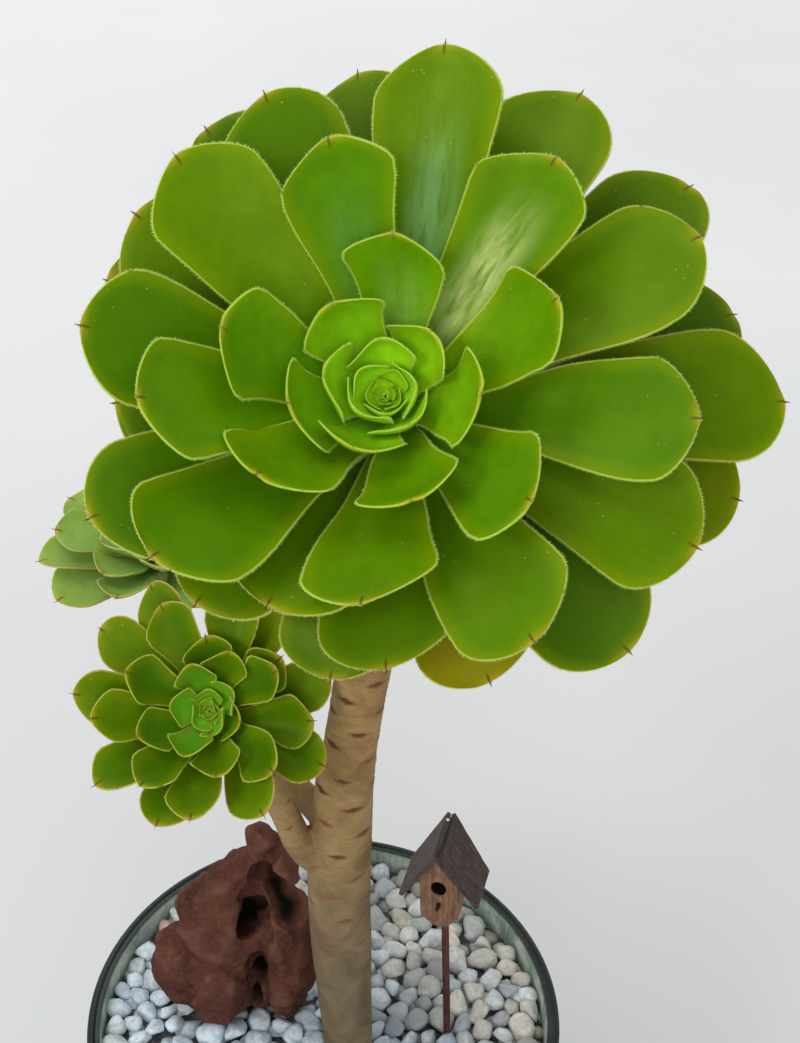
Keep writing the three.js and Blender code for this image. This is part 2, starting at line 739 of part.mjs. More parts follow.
// A peg, half of it in its hole and half of it standing out of the front.
function perchSolid() {
  const peg = rod(PERCH_RADIUS, 2 * PERCH_LENGTH - CLEARANCE, 10).rotate([90, 0, 0]);
  return atHouse(peg.translate([0, -HOUSE_DEPTH / 2 - CLEARANCE / 2, PERCH_HEIGHT]));
}

// A roof board on one side of the ridge, longer at the ridge than at the eaves: side is 1 on the
// right and -1 on the left.
function roofSolid(side) {
  const outline = new THREE.Shape([
    new THREE.Vector2(CLEARANCE, -ROOF_RIDGE_LENGTH / 2),
    new THREE.Vector2(ROOF_BOARD_WIDTH, -ROOF_EAVES_LENGTH / 2),
    new THREE.Vector2(ROOF_BOARD_WIDTH, ROOF_EAVES_LENGTH / 2),
    new THREE.Vector2(CLEARANCE, ROOF_RIDGE_LENGTH / 2),
  ]);
  const board = new THREE.ExtrudeGeometry(outline, { depth: ROOF_BOARD_THICKNESS, bevelEnabled: false });
  board.rotateY(roofSlope);
  board.translate(0, 0, HOUSE_PEAK + CLEARANCE / Math.cos(roofSlope));
  if (side < 0) {
    board.rotateZ(Math.PI);
  }
  return atHouse(solidFrom(board));
}

// ---- The whole ----------------------------------------------------------------------------

const plant = new THREE.Group();
plant.add(
  piece('pot', potSolid(), finish(0x16261f, 0.25)),
  piece('soil', soilSolid(), finish(0x3a2c20, 1)),
  piece('gravel', gravelSolid(), finish(0xcdd2d4, 0.7)),
  piece('lava_rock', rockSolid(), finish(0x6e3c30, 0.95)),
  piece('stem', stemSolid(), finish(0x9a7c5a, 0.85)),
  piece('main_rosette', rosetteSolid(MAIN_ROSETTE), finish(0x5f9410, 0.45)),
  piece('side_rosette_front', rosetteSolid(FRONT_ROSETTE), finish(0x5a9018, 0.45)),
  piece('side_rosette_back', rosetteSolid(BACK_ROSETTE), finish(0x568a2a, 0.45)),
  piece('birdhouse_stick', stickSolid(), finish(0x4a261f, 0.8)),
  piece('birdhouse_body', houseSolid(), finish(0x8a6248, 0.8)),
  piece('birdhouse_perch', perchSolid(), finish(0x2a1812, 0.9)),
  piece('birdhouse_roof_left', roofSolid(-1), finish(0x4e342c, 0.8)),
  piece('birdhouse_roof_right', roofSolid(1), finish(0x5a3a30, 0.8)),
);

export default plant;
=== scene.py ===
# %% [markdown]
# # A potted tree aeonium
#
# The solids of the plant, its pot and its ornaments are already made. This lesson dresses them:
# each coarse solid gets a finer piece in the same place, and every surface gets a finish of its
# own. Sizes are written in millimetres and turned into metres where Blender needs them.

# %% Load the solids
import math

import bpy
import numpy as np
from mathutils import Matrix, Vector
from mathutils.bvhtree import BVHTree


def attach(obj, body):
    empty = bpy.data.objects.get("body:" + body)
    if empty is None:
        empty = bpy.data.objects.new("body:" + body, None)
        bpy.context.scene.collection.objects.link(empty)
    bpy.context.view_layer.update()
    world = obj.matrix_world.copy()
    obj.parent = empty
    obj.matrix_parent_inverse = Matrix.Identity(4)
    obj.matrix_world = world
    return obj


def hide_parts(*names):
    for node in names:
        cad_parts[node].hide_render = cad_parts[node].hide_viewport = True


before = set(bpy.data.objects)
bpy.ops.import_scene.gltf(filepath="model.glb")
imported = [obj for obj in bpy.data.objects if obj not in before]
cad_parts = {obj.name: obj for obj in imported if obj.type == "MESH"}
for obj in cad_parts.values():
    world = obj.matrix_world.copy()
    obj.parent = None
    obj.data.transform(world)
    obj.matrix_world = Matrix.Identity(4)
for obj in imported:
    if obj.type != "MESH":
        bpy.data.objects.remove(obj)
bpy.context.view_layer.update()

MM = 0.001
print("solids:", sorted(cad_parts))

# %% [markdown]
# ## The camera
#
# A camera is three directions and a lens. Looking down by a pitch angle turns "forward" and "up"
# together, and a small roll turns "right" and "up" about the line of sight. Building the matrix
# from those directions is easier to read than a chain of rotations.

# %% Camera
CAMERA_AT = Vector((31.08, -499.44, 822.4)) * MM
CAMERA_PITCH = math.radians(33.7)
CAMERA_ROLL = math.radians(1.67)
CAMERA_LENS, SENSOR_WIDTH = 51.77, 36

ahead = Vector((0, math.cos(CAMERA_PITCH), -math.sin(CAMERA_PITCH)))
level_up = Vector((0, math.sin(CAMERA_PITCH), math.cos(CAMERA_PITCH)))
level_right = Vector((1, 0, 0))
right = level_right * math.cos(CAMERA_ROLL) + level_up * math.sin(CAMERA_ROLL)
up = level_up * math.cos(CAMERA_ROLL) - level_right * math.sin(CAMERA_ROLL)

bpy.ops.object.camera_add()
camera = bpy.context.object
facing = Matrix((right, up, -ahead)).transposed().to_4x4()
camera.matrix_world = Matrix.Translation(CAMERA_AT) @ facing
camera.data.lens = CAMERA_LENS
camera.data.sensor_width = SENSOR_WIDTH
bpy.context.scene.camera = camera
print("camera at", tuple(round(value, 3) for value in camera.location))

# %% [markdown]
# ## Small helpers
#
# An operator acts on whatever is selected, so each step first deselects everything and picks its
# own object. Modifiers are applied at once: the finished mesh is then plain and easy to measure.
# A piece is settled when its place, turn and size are moved into its mesh. To dress a piece is to
# give it its finish, to hang it on the root body, and to hide the solids that it stands for.

# %% Selecting, applying, finishing a piece
def pick(*objects):
    if bpy.context.mode != "OBJECT":
        bpy.ops.object.mode_set(mode="OBJECT")
    bpy.ops.object.select_all(action="DESELECT")
    for each in objects:
        each.select_set(True)
    bpy.context.view_layer.objects.active = objects[0]


def modify(piece, kind, **settings):
    pick(piece)
    modifier = piece.modifiers.new(kind.title(), kind)
    for name, value in settings.items():
        setattr(modifier, name, value)
    bpy.ops.object.modifier_apply(modifier=modifier.name)


def settle(piece):
    pick(piece)
    bpy.ops.object.transform_apply(location=True, rotation=True, scale=True)


def joined(name, pieces):
    pick(*pieces)
    bpy.ops.object.join()
    whole = bpy.context.object
    whole.name = whole.data.name = name
    return whole


def dress(piece, finish, slot, *nodes):
    piece.data.materials.clear()
    piece.data.materials.append(finish)
    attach(piece, "root")
    if nodes:
        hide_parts(*nodes)
    triangles = sum(len(face.vertices) - 2 for face in piece.data.polygons)
    print(piece.name, "has", triangles, "triangles")


# %% [markdown]
# ## Helpers for finishes
#
# A finish is a small graph of nodes. These helpers add a node or two each and hand back the
# output, so a graph reads like a sum: a noise feeds a ramp, the ramp feeds the shader's colour.
# Patterns are laid out in Object coordinates, which are metres here, so a scale of 500 means 2 mm
# features. Most patterns are used through a span, which turns one range of values into another.

# %% Node helpers
def put(tree, kind, feeds, output=0, **settings):
    node = tree.nodes.new(kind)
    for name, value in settings.items():
        setattr(node, name, value)
    for socket, value in feeds.items():
        if isinstance(value, bpy.types.NodeSocket):
            tree.links.new(value, node.inputs[socket])
        else:
            node.inputs[socket].default_value = value
    return node.outputs[output]


def rgb(colour):
    return (*colour, 1) if isinstance(colour, tuple) and len(colour) == 3 else colour


def mix(tree, factor, first, second):
    feeds = {0: factor, 6: rgb(first), 7: rgb(second)}
    return put(tree, "ShaderNodeMix", feeds, 2, data_type="RGBA")


def calc(tree, how, first, second=0.0, *more):
    answer = put(tree, "ShaderNodeMath", {0: first, 1: second}, operation=how)
    return calc(tree, how, answer, *more) if more else answer


def span(tree, value, low, high, start=0.0, end=1.0):
    feeds = {"Value": value, "From Min": low, "From Max": high, "To Min": start, "To Max": end}
    return put(tree, "ShaderNodeMapRange", feeds, interpolation_type="SMOOTHSTEP")


def places(tree):
    return put(tree, "ShaderNodeTexCoord", {}, "Object")


def noise(tree, where, scale, detail=4.0, rough=0.55, warp=0.0):
    feeds = {"Scale": scale, "Detail": detail, "Roughness": rough, "Distortion": warp}
    return put(tree, "ShaderNodeTexNoise", {"Vector": where, **feeds}, "Fac")


def frayed(tree, value, pattern, amount):
    swing = calc(tree, "MULTIPLY", calc(tree, "SUBTRACT", pattern, 0.5), amount)
    return calc(tree, "ADD", value, swing)


def stretched(tree, where, scale):
    return put(tree, "ShaderNodeMapping", {"Vector": where, "Scale": scale})


def reading(tree, name):
    return put(tree, "ShaderNodeAttribute", {}, "Fac", attribute_name=name)


def ramp(tree, factor, stops):
    node = tree.nodes.new("ShaderNodeValToRGB")
    tree.links.new(factor, node.inputs["Fac"])
    elements = node.color_ramp.elements
    while len(elements) < len(stops):
        elements.new(0.5)
    for element, (position, colour) in zip(elements, stops):
        element.position = position
        element.color = rgb(colour)
    return node.outputs["Color"]


def bump(tree, height, depth_mm, under=None):
    feeds = {"Height": height, "Distance": depth_mm * MM, "Strength": 1.0}
    if under:
        feeds["Normal"] = under
    return put(tree, "ShaderNodeBump", feeds)


def new_finish(name, **settings):
    material = bpy.data.materials.new(name)
    material.use_nodes = True
    shader = material.node_tree.nodes["Principled BSDF"]
    for socket, value in settings.items():
        shader.inputs[socket.replace("_", " ")].default_value = value
    return material, material.node_tree, shader


def wire(tree, shader, **feeds):
    for socket, value in feeds.items():
        tree.links.new(value, shader.inputs[socket.replace("_", " ")])


# %% [markdown]
# ## The pot
#
# A nursery pot is moulded plastic: a tapering wall with a rolled lip. Such a round thing is turned
# from its profile, half of its section, which is spun round the axis. Here one vertex is extruded
# from point to point to draw the profile, and the spin operator sweeps it. The drain holes are
# then drilled through the base with plain cylinders.

# %% Turning a profile
MERGE_WITHIN = 0.01 * MM


def primitive(kind, name, **settings):
    bpy.ops.object.select_all(action="DESELECT")
    getattr(bpy.ops.mesh, "primitive_" + kind + "_add")(**settings)
    piece = bpy.context.object
    piece.name = piece.data.name = name
    return piece


def edit_all(piece):
    pick(piece)
    bpy.ops.object.mode_set(mode="EDIT")
    bpy.ops.mesh.select_all(action="SELECT")


def close_mesh():
    bpy.ops.mesh.select_all(action="SELECT")
    bpy.ops.mesh.remove_doubles(threshold=MERGE_WITHIN)
    bpy.ops.mesh.normals_make_consistent(inside=False)
    bpy.ops.object.mode_set(mode="OBJECT")


def turned(name, profile, steps):
    piece = primitive("plane", name, size=MM)
    edit_all(piece)
    bpy.ops.mesh.merge(type="CENTER")
    here = Vector((profile[0][0], 0, profile[0][1])) * MM
    bpy.ops.transform.translate(value=here)
    for reach, height in profile[1:]:
        there = Vector((reach, 0, height)) * MM
        bpy.ops.mesh.extrude_region_move(TRANSFORM_OT_translate={"value": there - here})
        here = there
    bpy.ops.mesh.select_all(action="SELECT")
    bpy.ops.mesh.spin(steps=steps, angle=2 * math.pi, center=(0, 0, 0), axis=(0, 0, 1))
    close_mesh()
    return piece


# %% Rods, cuts and smooth shading
def rod(name, sides, radius, length, place, lying=False):
    return primitive(
        "cylinder", name, vertices=sides, radius=radius * MM, depth=length * MM,
        location=[value * MM for value in place], rotation=(math.pi / 2 if lying else 0, 0, 0),
    )


def cut(piece, tool):
    modify(piece, "BOOLEAN", operation="DIFFERENCE", object=tool, solver="EXACT")
    bpy.data.objects.remove(tool)


def smooth(piece, sharp_from=None):
    pick(piece)
    if sharp_from is None:
        bpy.ops.object.shade_smooth()
    else:
        bpy.ops.object.shade_smooth_by_angle(angle=math.radians(sharp_from))


# %% The pot's shape
POT_SECTION = [
    (0, 0), (81, 0), (83.6, 0.7), (85, 2.6), (85.4, 4), (115.6, 175.6), (116.4, 177), (119.2, 177),
    (119.9, 177.6), (120, 178.6), (120, 184.4), (119.5, 185.1), (119.5, 186), (119.9, 186.8),
    (119.6, 188.6), (118.4, 189.7), (117, 190), (116.2, 189.5), (115.5, 188.9), (114.6, 189.2),
    (113.7, 189), (113.2, 188.2), (113, 186.6), (112.9, 177), (82.36, 5), (0, 5),
]
POT_STEPS = 144
DRAIN_HOLES, DRAIN_RING, DRAIN_RADIUS = 5, 52, 5
DRILL_LENGTH, DRILL_LEVEL = 20, 2

pot = turned("nursery_pot", POT_SECTION, POT_STEPS)
for k in range(DRAIN_HOLES):
    angle = 2 * math.pi * k / DRAIN_HOLES
    spot = (DRAIN_RING * math.cos(angle), DRAIN_RING * math.sin(angle), DRILL_LEVEL)
    cut(pot, rod("drill", 32, DRAIN_RADIUS, DRILL_LENGTH, spot))
smooth(pot, sharp_from=32)
print("the pot has", DRAIN_HOLES, "drain holes and", len(pot.data.polygons), "faces")

# %% [markdown]
# ### Its finish
#
# The plastic is nearly black, with a green cast and a soft gloss. Hard water has left a pale band
# on the inside wall, just above the pebbles. The band is mixed in by place: how far a point lies
# within the slope of the outer wall tells inside from outside, and the height fades it out below
# the lip.

# %% Pot plastic
WALL_LEAN, WALL_FOOT = 0.176, 0.0847  # the outer wall's slope, and its reach at height 0 in metres
WALL_DEPTH = (-0.0009, -0.0016)  # how far within it the pale band starts and is full
BAND_TOP = (0.1893, 0.1872)  # the height where the band starts and where it is full


def axes(tree, where):
    parts = tree.nodes.new("ShaderNodeSeparateXYZ")
    tree.links.new(where, parts.inputs[0])
    return parts.outputs


def far_off(tree, first, second):
    squares = [calc(tree, "POWER", value, 2) for value in (first, second)]
    return calc(tree, "SQRT", calc(tree, "ADD", *squares))


pot_plastic, tree, shader = new_finish(
    "pot_plastic", Coat_Weight=0.08, Coat_Roughness=0.15, Specular_IOR_Level=0.3,
)
where = places(tree)
across_x, across_y, height = axes(tree, where)
dust = noise(tree, where, 70, 6, 0.62)
streaks = noise(tree, stretched(tree, where, (1, 1, 0.12)), 420, 4, 0.6)
dull = span(tree, dust, 0.42, 0.75, 0, 0.5)
plastic = mix(tree, dull, (0.004, 0.009, 0.0075), (0.013, 0.025, 0.021))
outer_wall = calc(tree, "ADD", calc(tree, "MULTIPLY", height, WALL_LEAN), WALL_FOOT)
within = calc(tree, "SUBTRACT", far_off(tree, across_x, across_y), outer_wall)
lime = mix(tree, span(tree, dust, 0.4, 0.62), (0.24, 0.33, 0.27), (0.52, 0.58, 0.5))
band = calc(
    tree, "MULTIPLY", span(tree, within, *WALL_DEPTH), span(tree, height, *BAND_TOP),
    span(tree, streaks, 0.25, 0.5, 0.55, 1),
)
dry = calc(tree, "MULTIPLY", band, 0.35)
wire(
    tree, shader,
    Base_Color=mix(tree, band, plastic, lime),
    Roughness=calc(tree, "ADD", span(tree, dust, 0.3, 0.8, 0.2, 0.42), dry),
    Normal=bump(tree, streaks, 0.05, bump(tree, dust, 0.12)),
)
dress(pot, pot_plastic, "pot", "pot")

# %% [markdown]
# ## Potting mix
#
# The soil's own solid has the right shape and only shows through the drain holes, so it stays and
# gets a finish: dark peat with paler fibres and grit.

# %% Peat finish
PEAT = [(0.3, (0.012, 0.008, 0.005)), (0.55, (0.05, 0.032, 0.02)), (0.75, (0.16, 0.11, 0.07))]

peat, tree, shader = new_finish("peat", Roughness=0.95)
where = places(tree)
crumbs = noise(tree, where, 260, 8, 0.7)
grit = noise(tree, where, 900, 3, 0.6)
wire(
    tree, shader,
    Base_Color=ramp(tree, crumbs, PEAT),
    Normal=bump(tree, grit, 0.3, bump(tree, crumbs, 1.5)),
)
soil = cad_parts["soil"]
soil.data.materials.clear()
soil.data.materials.append(peat)
print("the soil's own solid is finished as", soil.data.materials[0].name)

# %% [markdown]
# ## Many copies in one mesh
#
# Pebbles and leaves repeat by the hundred. Each is modelled once as a pattern, and then every copy
# is bent or turned by its own numbers. Doing that on whole arrays keeps it quick, and one mesh of
# all the copies is easier to handle than hundreds of objects.

# %% Copies of a pattern
def corners_of(piece):
    flat = np.empty(len(piece.data.vertices) * 3)
    piece.data.vertices.foreach_get("co", flat)
    return flat.reshape(-1, 3)


def faces_of(piece):
    return [tuple(face.vertices) for face in piece.data.polygons]


def keep_reading(mesh, label, values):
    points = mesh.attributes.new(label, "FLOAT", "POINT").data
    points.foreach_set("value", np.asarray(values, np.float32).ravel())


def copies(name, faces, positions, readings):
    count, each = positions.shape[:2]
    all_faces = [tuple(v + k * each for v in face) for k in range(count) for face in faces]
    mesh = bpy.data.meshes.new(name)
    mesh.from_pydata(positions.reshape(-1, 3).tolist(), [], all_faces)
    for label, values in readings.items():
        keep_reading(mesh, label, np.broadcast_to(values, (count, each)))
    mesh.update()
    piece = bpy.data.objects.new(name, mesh)
    bpy.context.scene.collection.objects.link(piece)
    smooth(piece)
    return piece


# %% [markdown]
# ## The lava rock
#
# The rock's solid already has its lumps, in flat facets. A copy of it is merged, its caves are cut
# deeper with stretched balls, and a voxel remesh gives it fine even faces. Then four textures push
# the surface in and out: broad clouds for lumps, two sizes of cells for scoops and dents, and fine
# clouds for the foam that the gas left.

# %% Copying, pushing and remeshing
VOXEL = 0.95 * MM


def twin(piece, name):
    copy = piece.copy()
    copy.data = piece.data.copy()
    copy.name = copy.data.name = name
    copy.parent = None
    for key in list(copy.keys()):
        del copy[key]
    bpy.context.scene.collection.objects.link(copy)
    return copy


def remeshed(piece):
    modify(piece, "REMESH", mode="VOXEL", voxel_size=VOXEL)
    modify(piece, "SMOOTH", factor=0.5, iterations=8)


def pushed(piece, label, kind, size_mm, strength_mm, **settings):
    texture = bpy.data.textures.new(label, kind)
    texture.noise_scale = size_mm * MM
    for name, value in settings.items():
        setattr(texture, name, value)
    modify(piece, "DISPLACE", texture=texture, strength=strength_mm * MM, mid_level=0.5,
           texture_coords="LOCAL")


def surface_of(piece):
    return BVHTree.FromObject(piece, bpy.context.evaluated_depsgraph_get())


# %% Rock shape
ROCK_CAVES = [  # each is a ball: its place, its three half sizes and its tilt seen from the front
    ((-22, 1, 268), (9.5, 19, 22), 36), ((-35, 1, 252), (8.5, 17, 7), 20),
    ((-33, -2, 210), (5, 16, 10), 12), ((-34.5, -6, 194), (3.4, 16, 17), 0),
    ((-39, 1, 285), (6, 7, 5), 0), ((-78, -8, 236), (4, 7, 3), 40),
    ((-55, -12, 232), (5, 5, 3), -30),
]

rock = twin(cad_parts["lava_rock"], "foamy_rock")
edit_all(rock)
bpy.ops.mesh.remove_doubles(threshold=MERGE_WITHIN)
bpy.ops.object.mode_set(mode="OBJECT")
uncut_rock = surface_of(rock)
for place, half, tilt in ROCK_CAVES:
    turn = (0, math.radians(-tilt), 0)
    cave = primitive("ico_sphere", "cave", subdivisions=4, radius=MM, rotation=turn)
    cave.location = Vector(place) * MM
    cave.scale = half
    settle(cave)
    cut(rock, cave)
remeshed(rock)
pushed(rock, "lumps", "CLOUDS", 20, 6, noise_depth=1)
pushed(rock, "scoops", "VORONOI", 17, -4.5)
pushed(rock, "dents", "VORONOI", 8, -1.1)
pushed(rock, "foam", "CLOUDS", 3.0, 1.2, noise_depth=3)
smooth(rock)
print("the rock has", len(ROCK_CAVES), "caves and", len(rock.data.vertices), "points")

# %% [markdown]
# ### How deep each point of it lies
#
# The finish has to know ridge from hollow. A much smoother copy of the rock is made: where a point
# lies under the smooth copy it is in a hollow, and where it lies above it is on a ridge. The depth
# under the rock as it was before the caves were cut tells how far inside a cave a point is. Both
# depths, in millimetres, are kept on the points as readings.

# %% Depths of the rock's points
def normals_of(piece):
    flat = np.empty(len(piece.data.vertices) * 3)
    piece.data.vertex_normals.foreach_get("vector", flat)
    return flat.reshape(-1, 3)


def nearest(surface, point):
    hit, normal, _, distance = surface.find_nearest(point)
    inside = (point - hit).dot(normal) < 0
    return hit, normal, (-distance if inside else distance) / MM


rounded = twin(rock, "rounded_rock")
modify(rounded, "SMOOTH", factor=0.9, iterations=60)
sunk = corners_of(rounded) - corners_of(rock)
bpy.data.objects.remove(rounded)
cavity = (sunk * normals_of(rock)).sum(1) / MM
gaps = [nearest(uncut_rock, Vector(point))[2] for point in corners_of(rock)]
buried = np.maximum(0, -np.array(gaps))
keep_reading(rock.data, "cavity", cavity)
keep_reading(rock.data, "buried", buried)
print("the deepest cave point is", buried.max().round(1), "mm in")
print("points lie from", cavity.min().round(1), "to", cavity.max().round(1), "mm deep")

# %% [markdown]
# ### The rock's finish
#
# Lava stone is iron red, with pale dusty specks, and rough all over. It is paler on its ridges, and
# its deep places are darkened as painted shade: dark brown in the hollows, nearly black inside the
# caves. The two depths blend these in, each over a span of a few millimetres, and a noise frays the
# edge of the painted shade in the hollows.

# %% Rock finish
LAVA_REDS = [
    (0.3, (0.05, 0.016, 0.011)), (0.5, (0.092, 0.031, 0.02)), (0.7, (0.135, 0.053, 0.035)),
]

lava, tree, shader = new_finish("lava_stone", Roughness=0.95, Specular_IOR_Level=0.15)
where = places(tree)
cavity = reading(tree, "cavity")
broad = noise(tree, where, 45, 5, 0.6, 0.4)
grain = noise(tree, where, 420, 6, 0.65)
dusty = span(tree, grain, 0.45, 0.7, 0, 0.25)
stone = mix(tree, dusty, ramp(tree, broad, LAVA_REDS), (0.2, 0.1, 0.07))
stone = mix(tree, span(tree, cavity, -0.1, -1.8, 0, 0.42), stone, (0.21, 0.1, 0.068))
# painted shade: points in the hollows, found by their cavity depth, are darkened to dark brown
hollow = span(tree, frayed(tree, cavity, broad, 2.0), 0.1, 3.0, 0, 0.8)
stone = mix(tree, hollow, stone, (0.02, 0.009, 0.008))
# painted shade: points deep inside a cave are made nearly black
painted_cave_shade = span(tree, reading(tree, "buried"), 1.8, 8.0, 0, 0.985)
stone = mix(tree, painted_cave_shade, stone, (0.002, 0.0015, 0.0015))
wire(tree, shader, Base_Color=stone, Normal=bump(tree, grain, 0.6, bump(tree, broad, 1.2)))
dress(rock, lava, "lava_rock", "lava_rock")

# %% [markdown]
# ## Pebbles
#
# Washed pebbles lie in the pot, each touching the next. One pebble is a cube cut into small faces
# and cast to a ball; its copies are dented, worn flat here and there, stretched and turned. To
# place them, discs are thrown into the pot at random and then pushed apart, over and over, until
# hardly any two overlap. A second, lower layer fills the gaps, over a thin, nearly black bed that
# is painted shade for the deep gaps between them.

# %% One pebble
def unit(vectors):
    return vectors / np.linalg.norm(vectors, axis=-1, keepdims=True)


ball = primitive("cube", "pebble_pattern", size=2)
edit_all(ball)
bpy.ops.mesh.subdivide(number_cuts=3)
bpy.ops.object.mode_set(mode="OBJECT")
modify(ball, "CAST", factor=1.0, cast_type="SPHERE", radius=1.0)
ball_corners = unit(corners_of(ball))
ball_faces = faces_of(ball)
bpy.data.objects.remove(ball)
print("one pebble has", len(ball_faces), "faces")

# %% Pushing pebbles apart
BED_RADIUS = 111.8
HALF_LENGTHS = (4.8, 6.6, 9.6)  # the least, the usual and the greatest half length of a pebble
FOOTPRINT = 0.84  # the radius of the disc it takes, as a share of its half length
ROUNDS, EASE = 70, 0.35  # how often the discs are pushed apart, and by what share of an overlap
POSTS = [(12.9, -19.8, 12.4), (62.6, -6.1, 2.2)]  # the stem and the stick: x, y and radius
rock_surface = surface_of(rock)


def clear_of_rock(spot, radius, level):
    point = Vector((spot[0], spot[1], level)) * MM
    hit, normal, gap = nearest(rock_surface, point)
    if gap >= radius:
        return spot
    away = Vector((normal.x, normal.y))
    if away.length < 0.05:
        away = Vector((point.x - hit.x, point.y - hit.y)) + Vector((0.0001, 0))
    away.normalize()
    return spot + np.array(away) * min(radius - gap, 4)


def scattered(count, level, draw):
    half = draw.triangular(*HALF_LENGTHS, count)
    radius = half * FOOTPRINT
    turn = draw.uniform(0, 2 * np.pi, count)
    reach = np.sqrt(draw.uniform(0, 1, count)) * BED_RADIUS
    spots = reach[:, None] * np.stack([np.cos(turn), np.sin(turn)], 1)
    for _ in range(ROUNDS):
        gap = spots[:, None] - spots[None]
        far = np.linalg.norm(gap, axis=2) + np.eye(count) * 1e3
        squeeze = np.clip(radius[:, None] + radius[None] - far, 0, None)
        spots = spots + EASE * (gap / far[..., None] * squeeze[..., None]).sum(1)
        for x, y, post in POSTS:
            off = spots - (x, y)
            far_post = np.linalg.norm(off, axis=1)
            push = np.clip(post + radius - far_post, 0, None)
            spots = spots + off / far_post[:, None] * push[:, None]
        spots = np.array([clear_of_rock(spot, r * 0.8, level) for spot, r in zip(spots, radius)])
        out = np.linalg.norm(spots, axis=1)
        spots = spots * np.minimum(1, (BED_RADIUS - radius * 0.9) / out)[:, None]
    return spots, half


# %% Shaping and laying the pebbles
FLATS, WORN_AWAY = 10, 0.85  # worn flats on a pebble, and how much of what stands over one is lost
FULL_TURN = 6.28  # in radians, near enough for a draw
UPPER_LAYER = {"count": 300, "level": 178.6, "seed": 11}
LOWER_LAYER = {"count": 280, "level": 173.0, "seed": 12}


def pebble_layer(count, level, seed):
    draw = np.random.default_rng(seed)
    spots, halves = scattered(count, level, draw)
    made = []
    for (x, y), half in zip(spots, halves):
        dent = draw.uniform(1.2, 2.6, (3, 3))
        phase = draw.uniform(0, FULL_TURN, 3)
        shape = ball_corners * (1 + 0.08 * np.sin(ball_corners @ dent + phase).sum(1))[:, None]
        for _ in range(FLATS):
            flat = unit(draw.normal(0, 1, 3))
            over = np.clip(shape @ flat - draw.uniform(0.54, 0.84), 0, None)
            shape = shape - WORN_AWAY * over[:, None] * flat
        shape = shape * (1.08, draw.uniform(0.72, 1.0), draw.uniform(0.58, 0.8))
        tilt_x = Matrix.Rotation(draw.uniform(-0.45, 0.45), 3, "X")
        tilt_y = Matrix.Rotation(draw.uniform(-0.35, 0.35), 3, "Y")
        turn = Matrix.Rotation(draw.uniform(0, FULL_TURN), 3, "Z")
        shape = shape @ np.array(turn @ (tilt_x @ tilt_y)).T * half
        made.append((shape + (x, y, level + draw.uniform(-0.8, 0.9))) * MM)
    return np.array(made), spots, draw


upper, upper_spots, draw = pebble_layer(**UPPER_LAYER)
lower, lower_spots, _ = pebble_layer(**LOWER_LAYER)
pebbles = np.concatenate([upper, lower])
pebble_spots = np.concatenate([upper_spots, lower_spots])
print(len(pebbles), "pebbles, highest at", round(pebbles[..., 2].max() / MM, 1), "mm")

# %% [markdown]
# ### Their finish
#
# No two pebbles match: blue-grey and white quartz on most of the bed, warmer cream stones towards
# the back on the right, and a few rosy ones, and those beside the stem are darkened as a painted
# shadow of the plant. Each pebble carries its own tone, with that painted shadow in it, warmth and
# rosiness as readings on its points, and the finish turns them into colour.
# The bed below has no tone, so it comes out nearly black: painted shade in the gaps.

# %% Pebble colours
ROSY_AT, ROSY_WITHIN = (-93, 55), 9
# the middle and reach, in mm, of the painted shadow of the plant on the pebbles
PLANT_SHADOW_AT, PLANT_SHADOW_WITHIN = (38, -12), 60
# a nearly black bed under the pebbles, painted shade for the gaps between them
SHADE_BED_RADIUS, SHADE_BED_DEPTH, SHADE_BED_LEVEL = 111.4, 2.2, 173.6
READINGS = ("tone", "warm", "rosy")


def pebble_tones(spots, draw):
    count = len(spots)
    toward_cream = np.clip((spots[:, 0] * 0.75 + spots[:, 1] * 0.65 - 12) / 60, 0, 1)
    # painted shadow: pebbles near the stem are darkened, standing in for the plant's shade
    painted_plant_shadow = np.clip(1 - np.linalg.norm(spots - PLANT_SHADOW_AT, axis=1) / PLANT_SHADOW_WITHIN, 0, 1)
    duller_and_shaded = 0.3 * toward_cream * draw.uniform(0, 1, count) + 0.35 * painted_plant_shadow
    tone = np.clip(draw.beta(7.0, 1.25, count) - duller_and_shaded, 0.45, 1)
    warm = np.clip(draw.normal(0, 0.2, count) + toward_cream * 0.6 + 0.03, 0, 1)
    rosy = (np.linalg.norm(spots - ROSY_AT, axis=1) < ROSY_WITHIN).astype(float)
    return {label: values[:, None] for label, values in zip(READINGS, (tone, warm, rosy))}


gravel = copies("gravel_pebbles", ball_faces, pebbles, pebble_tones(pebble_spots, draw))
bed = rod("shade_bed", 96, SHADE_BED_RADIUS, SHADE_BED_DEPTH, (0, 0, SHADE_BED_LEVEL))
settle(bed)
for label in READINGS:
    keep_reading(bed.data, label, np.zeros(len(bed.data.vertices)))
gravel = joined("gravel_pebbles", [gravel, bed])

# %% Pebble finish
# the stop at tone 0 colours only that bed: painted shade
COOL_TONES = [
    (0.0, (0.03, 0.032, 0.035)), (0.35, (0.17, 0.2, 0.23)),
    (0.65, (0.43, 0.53, 0.62)), (1.0, (0.78, 0.9, 0.98)),
]
CREAM_TONES = [
    (0.0, (0.05, 0.04, 0.025)), (0.35, (0.3, 0.25, 0.17)),
    (0.62, (0.58, 0.52, 0.39)), (1.0, (0.85, 0.82, 0.7)),
]

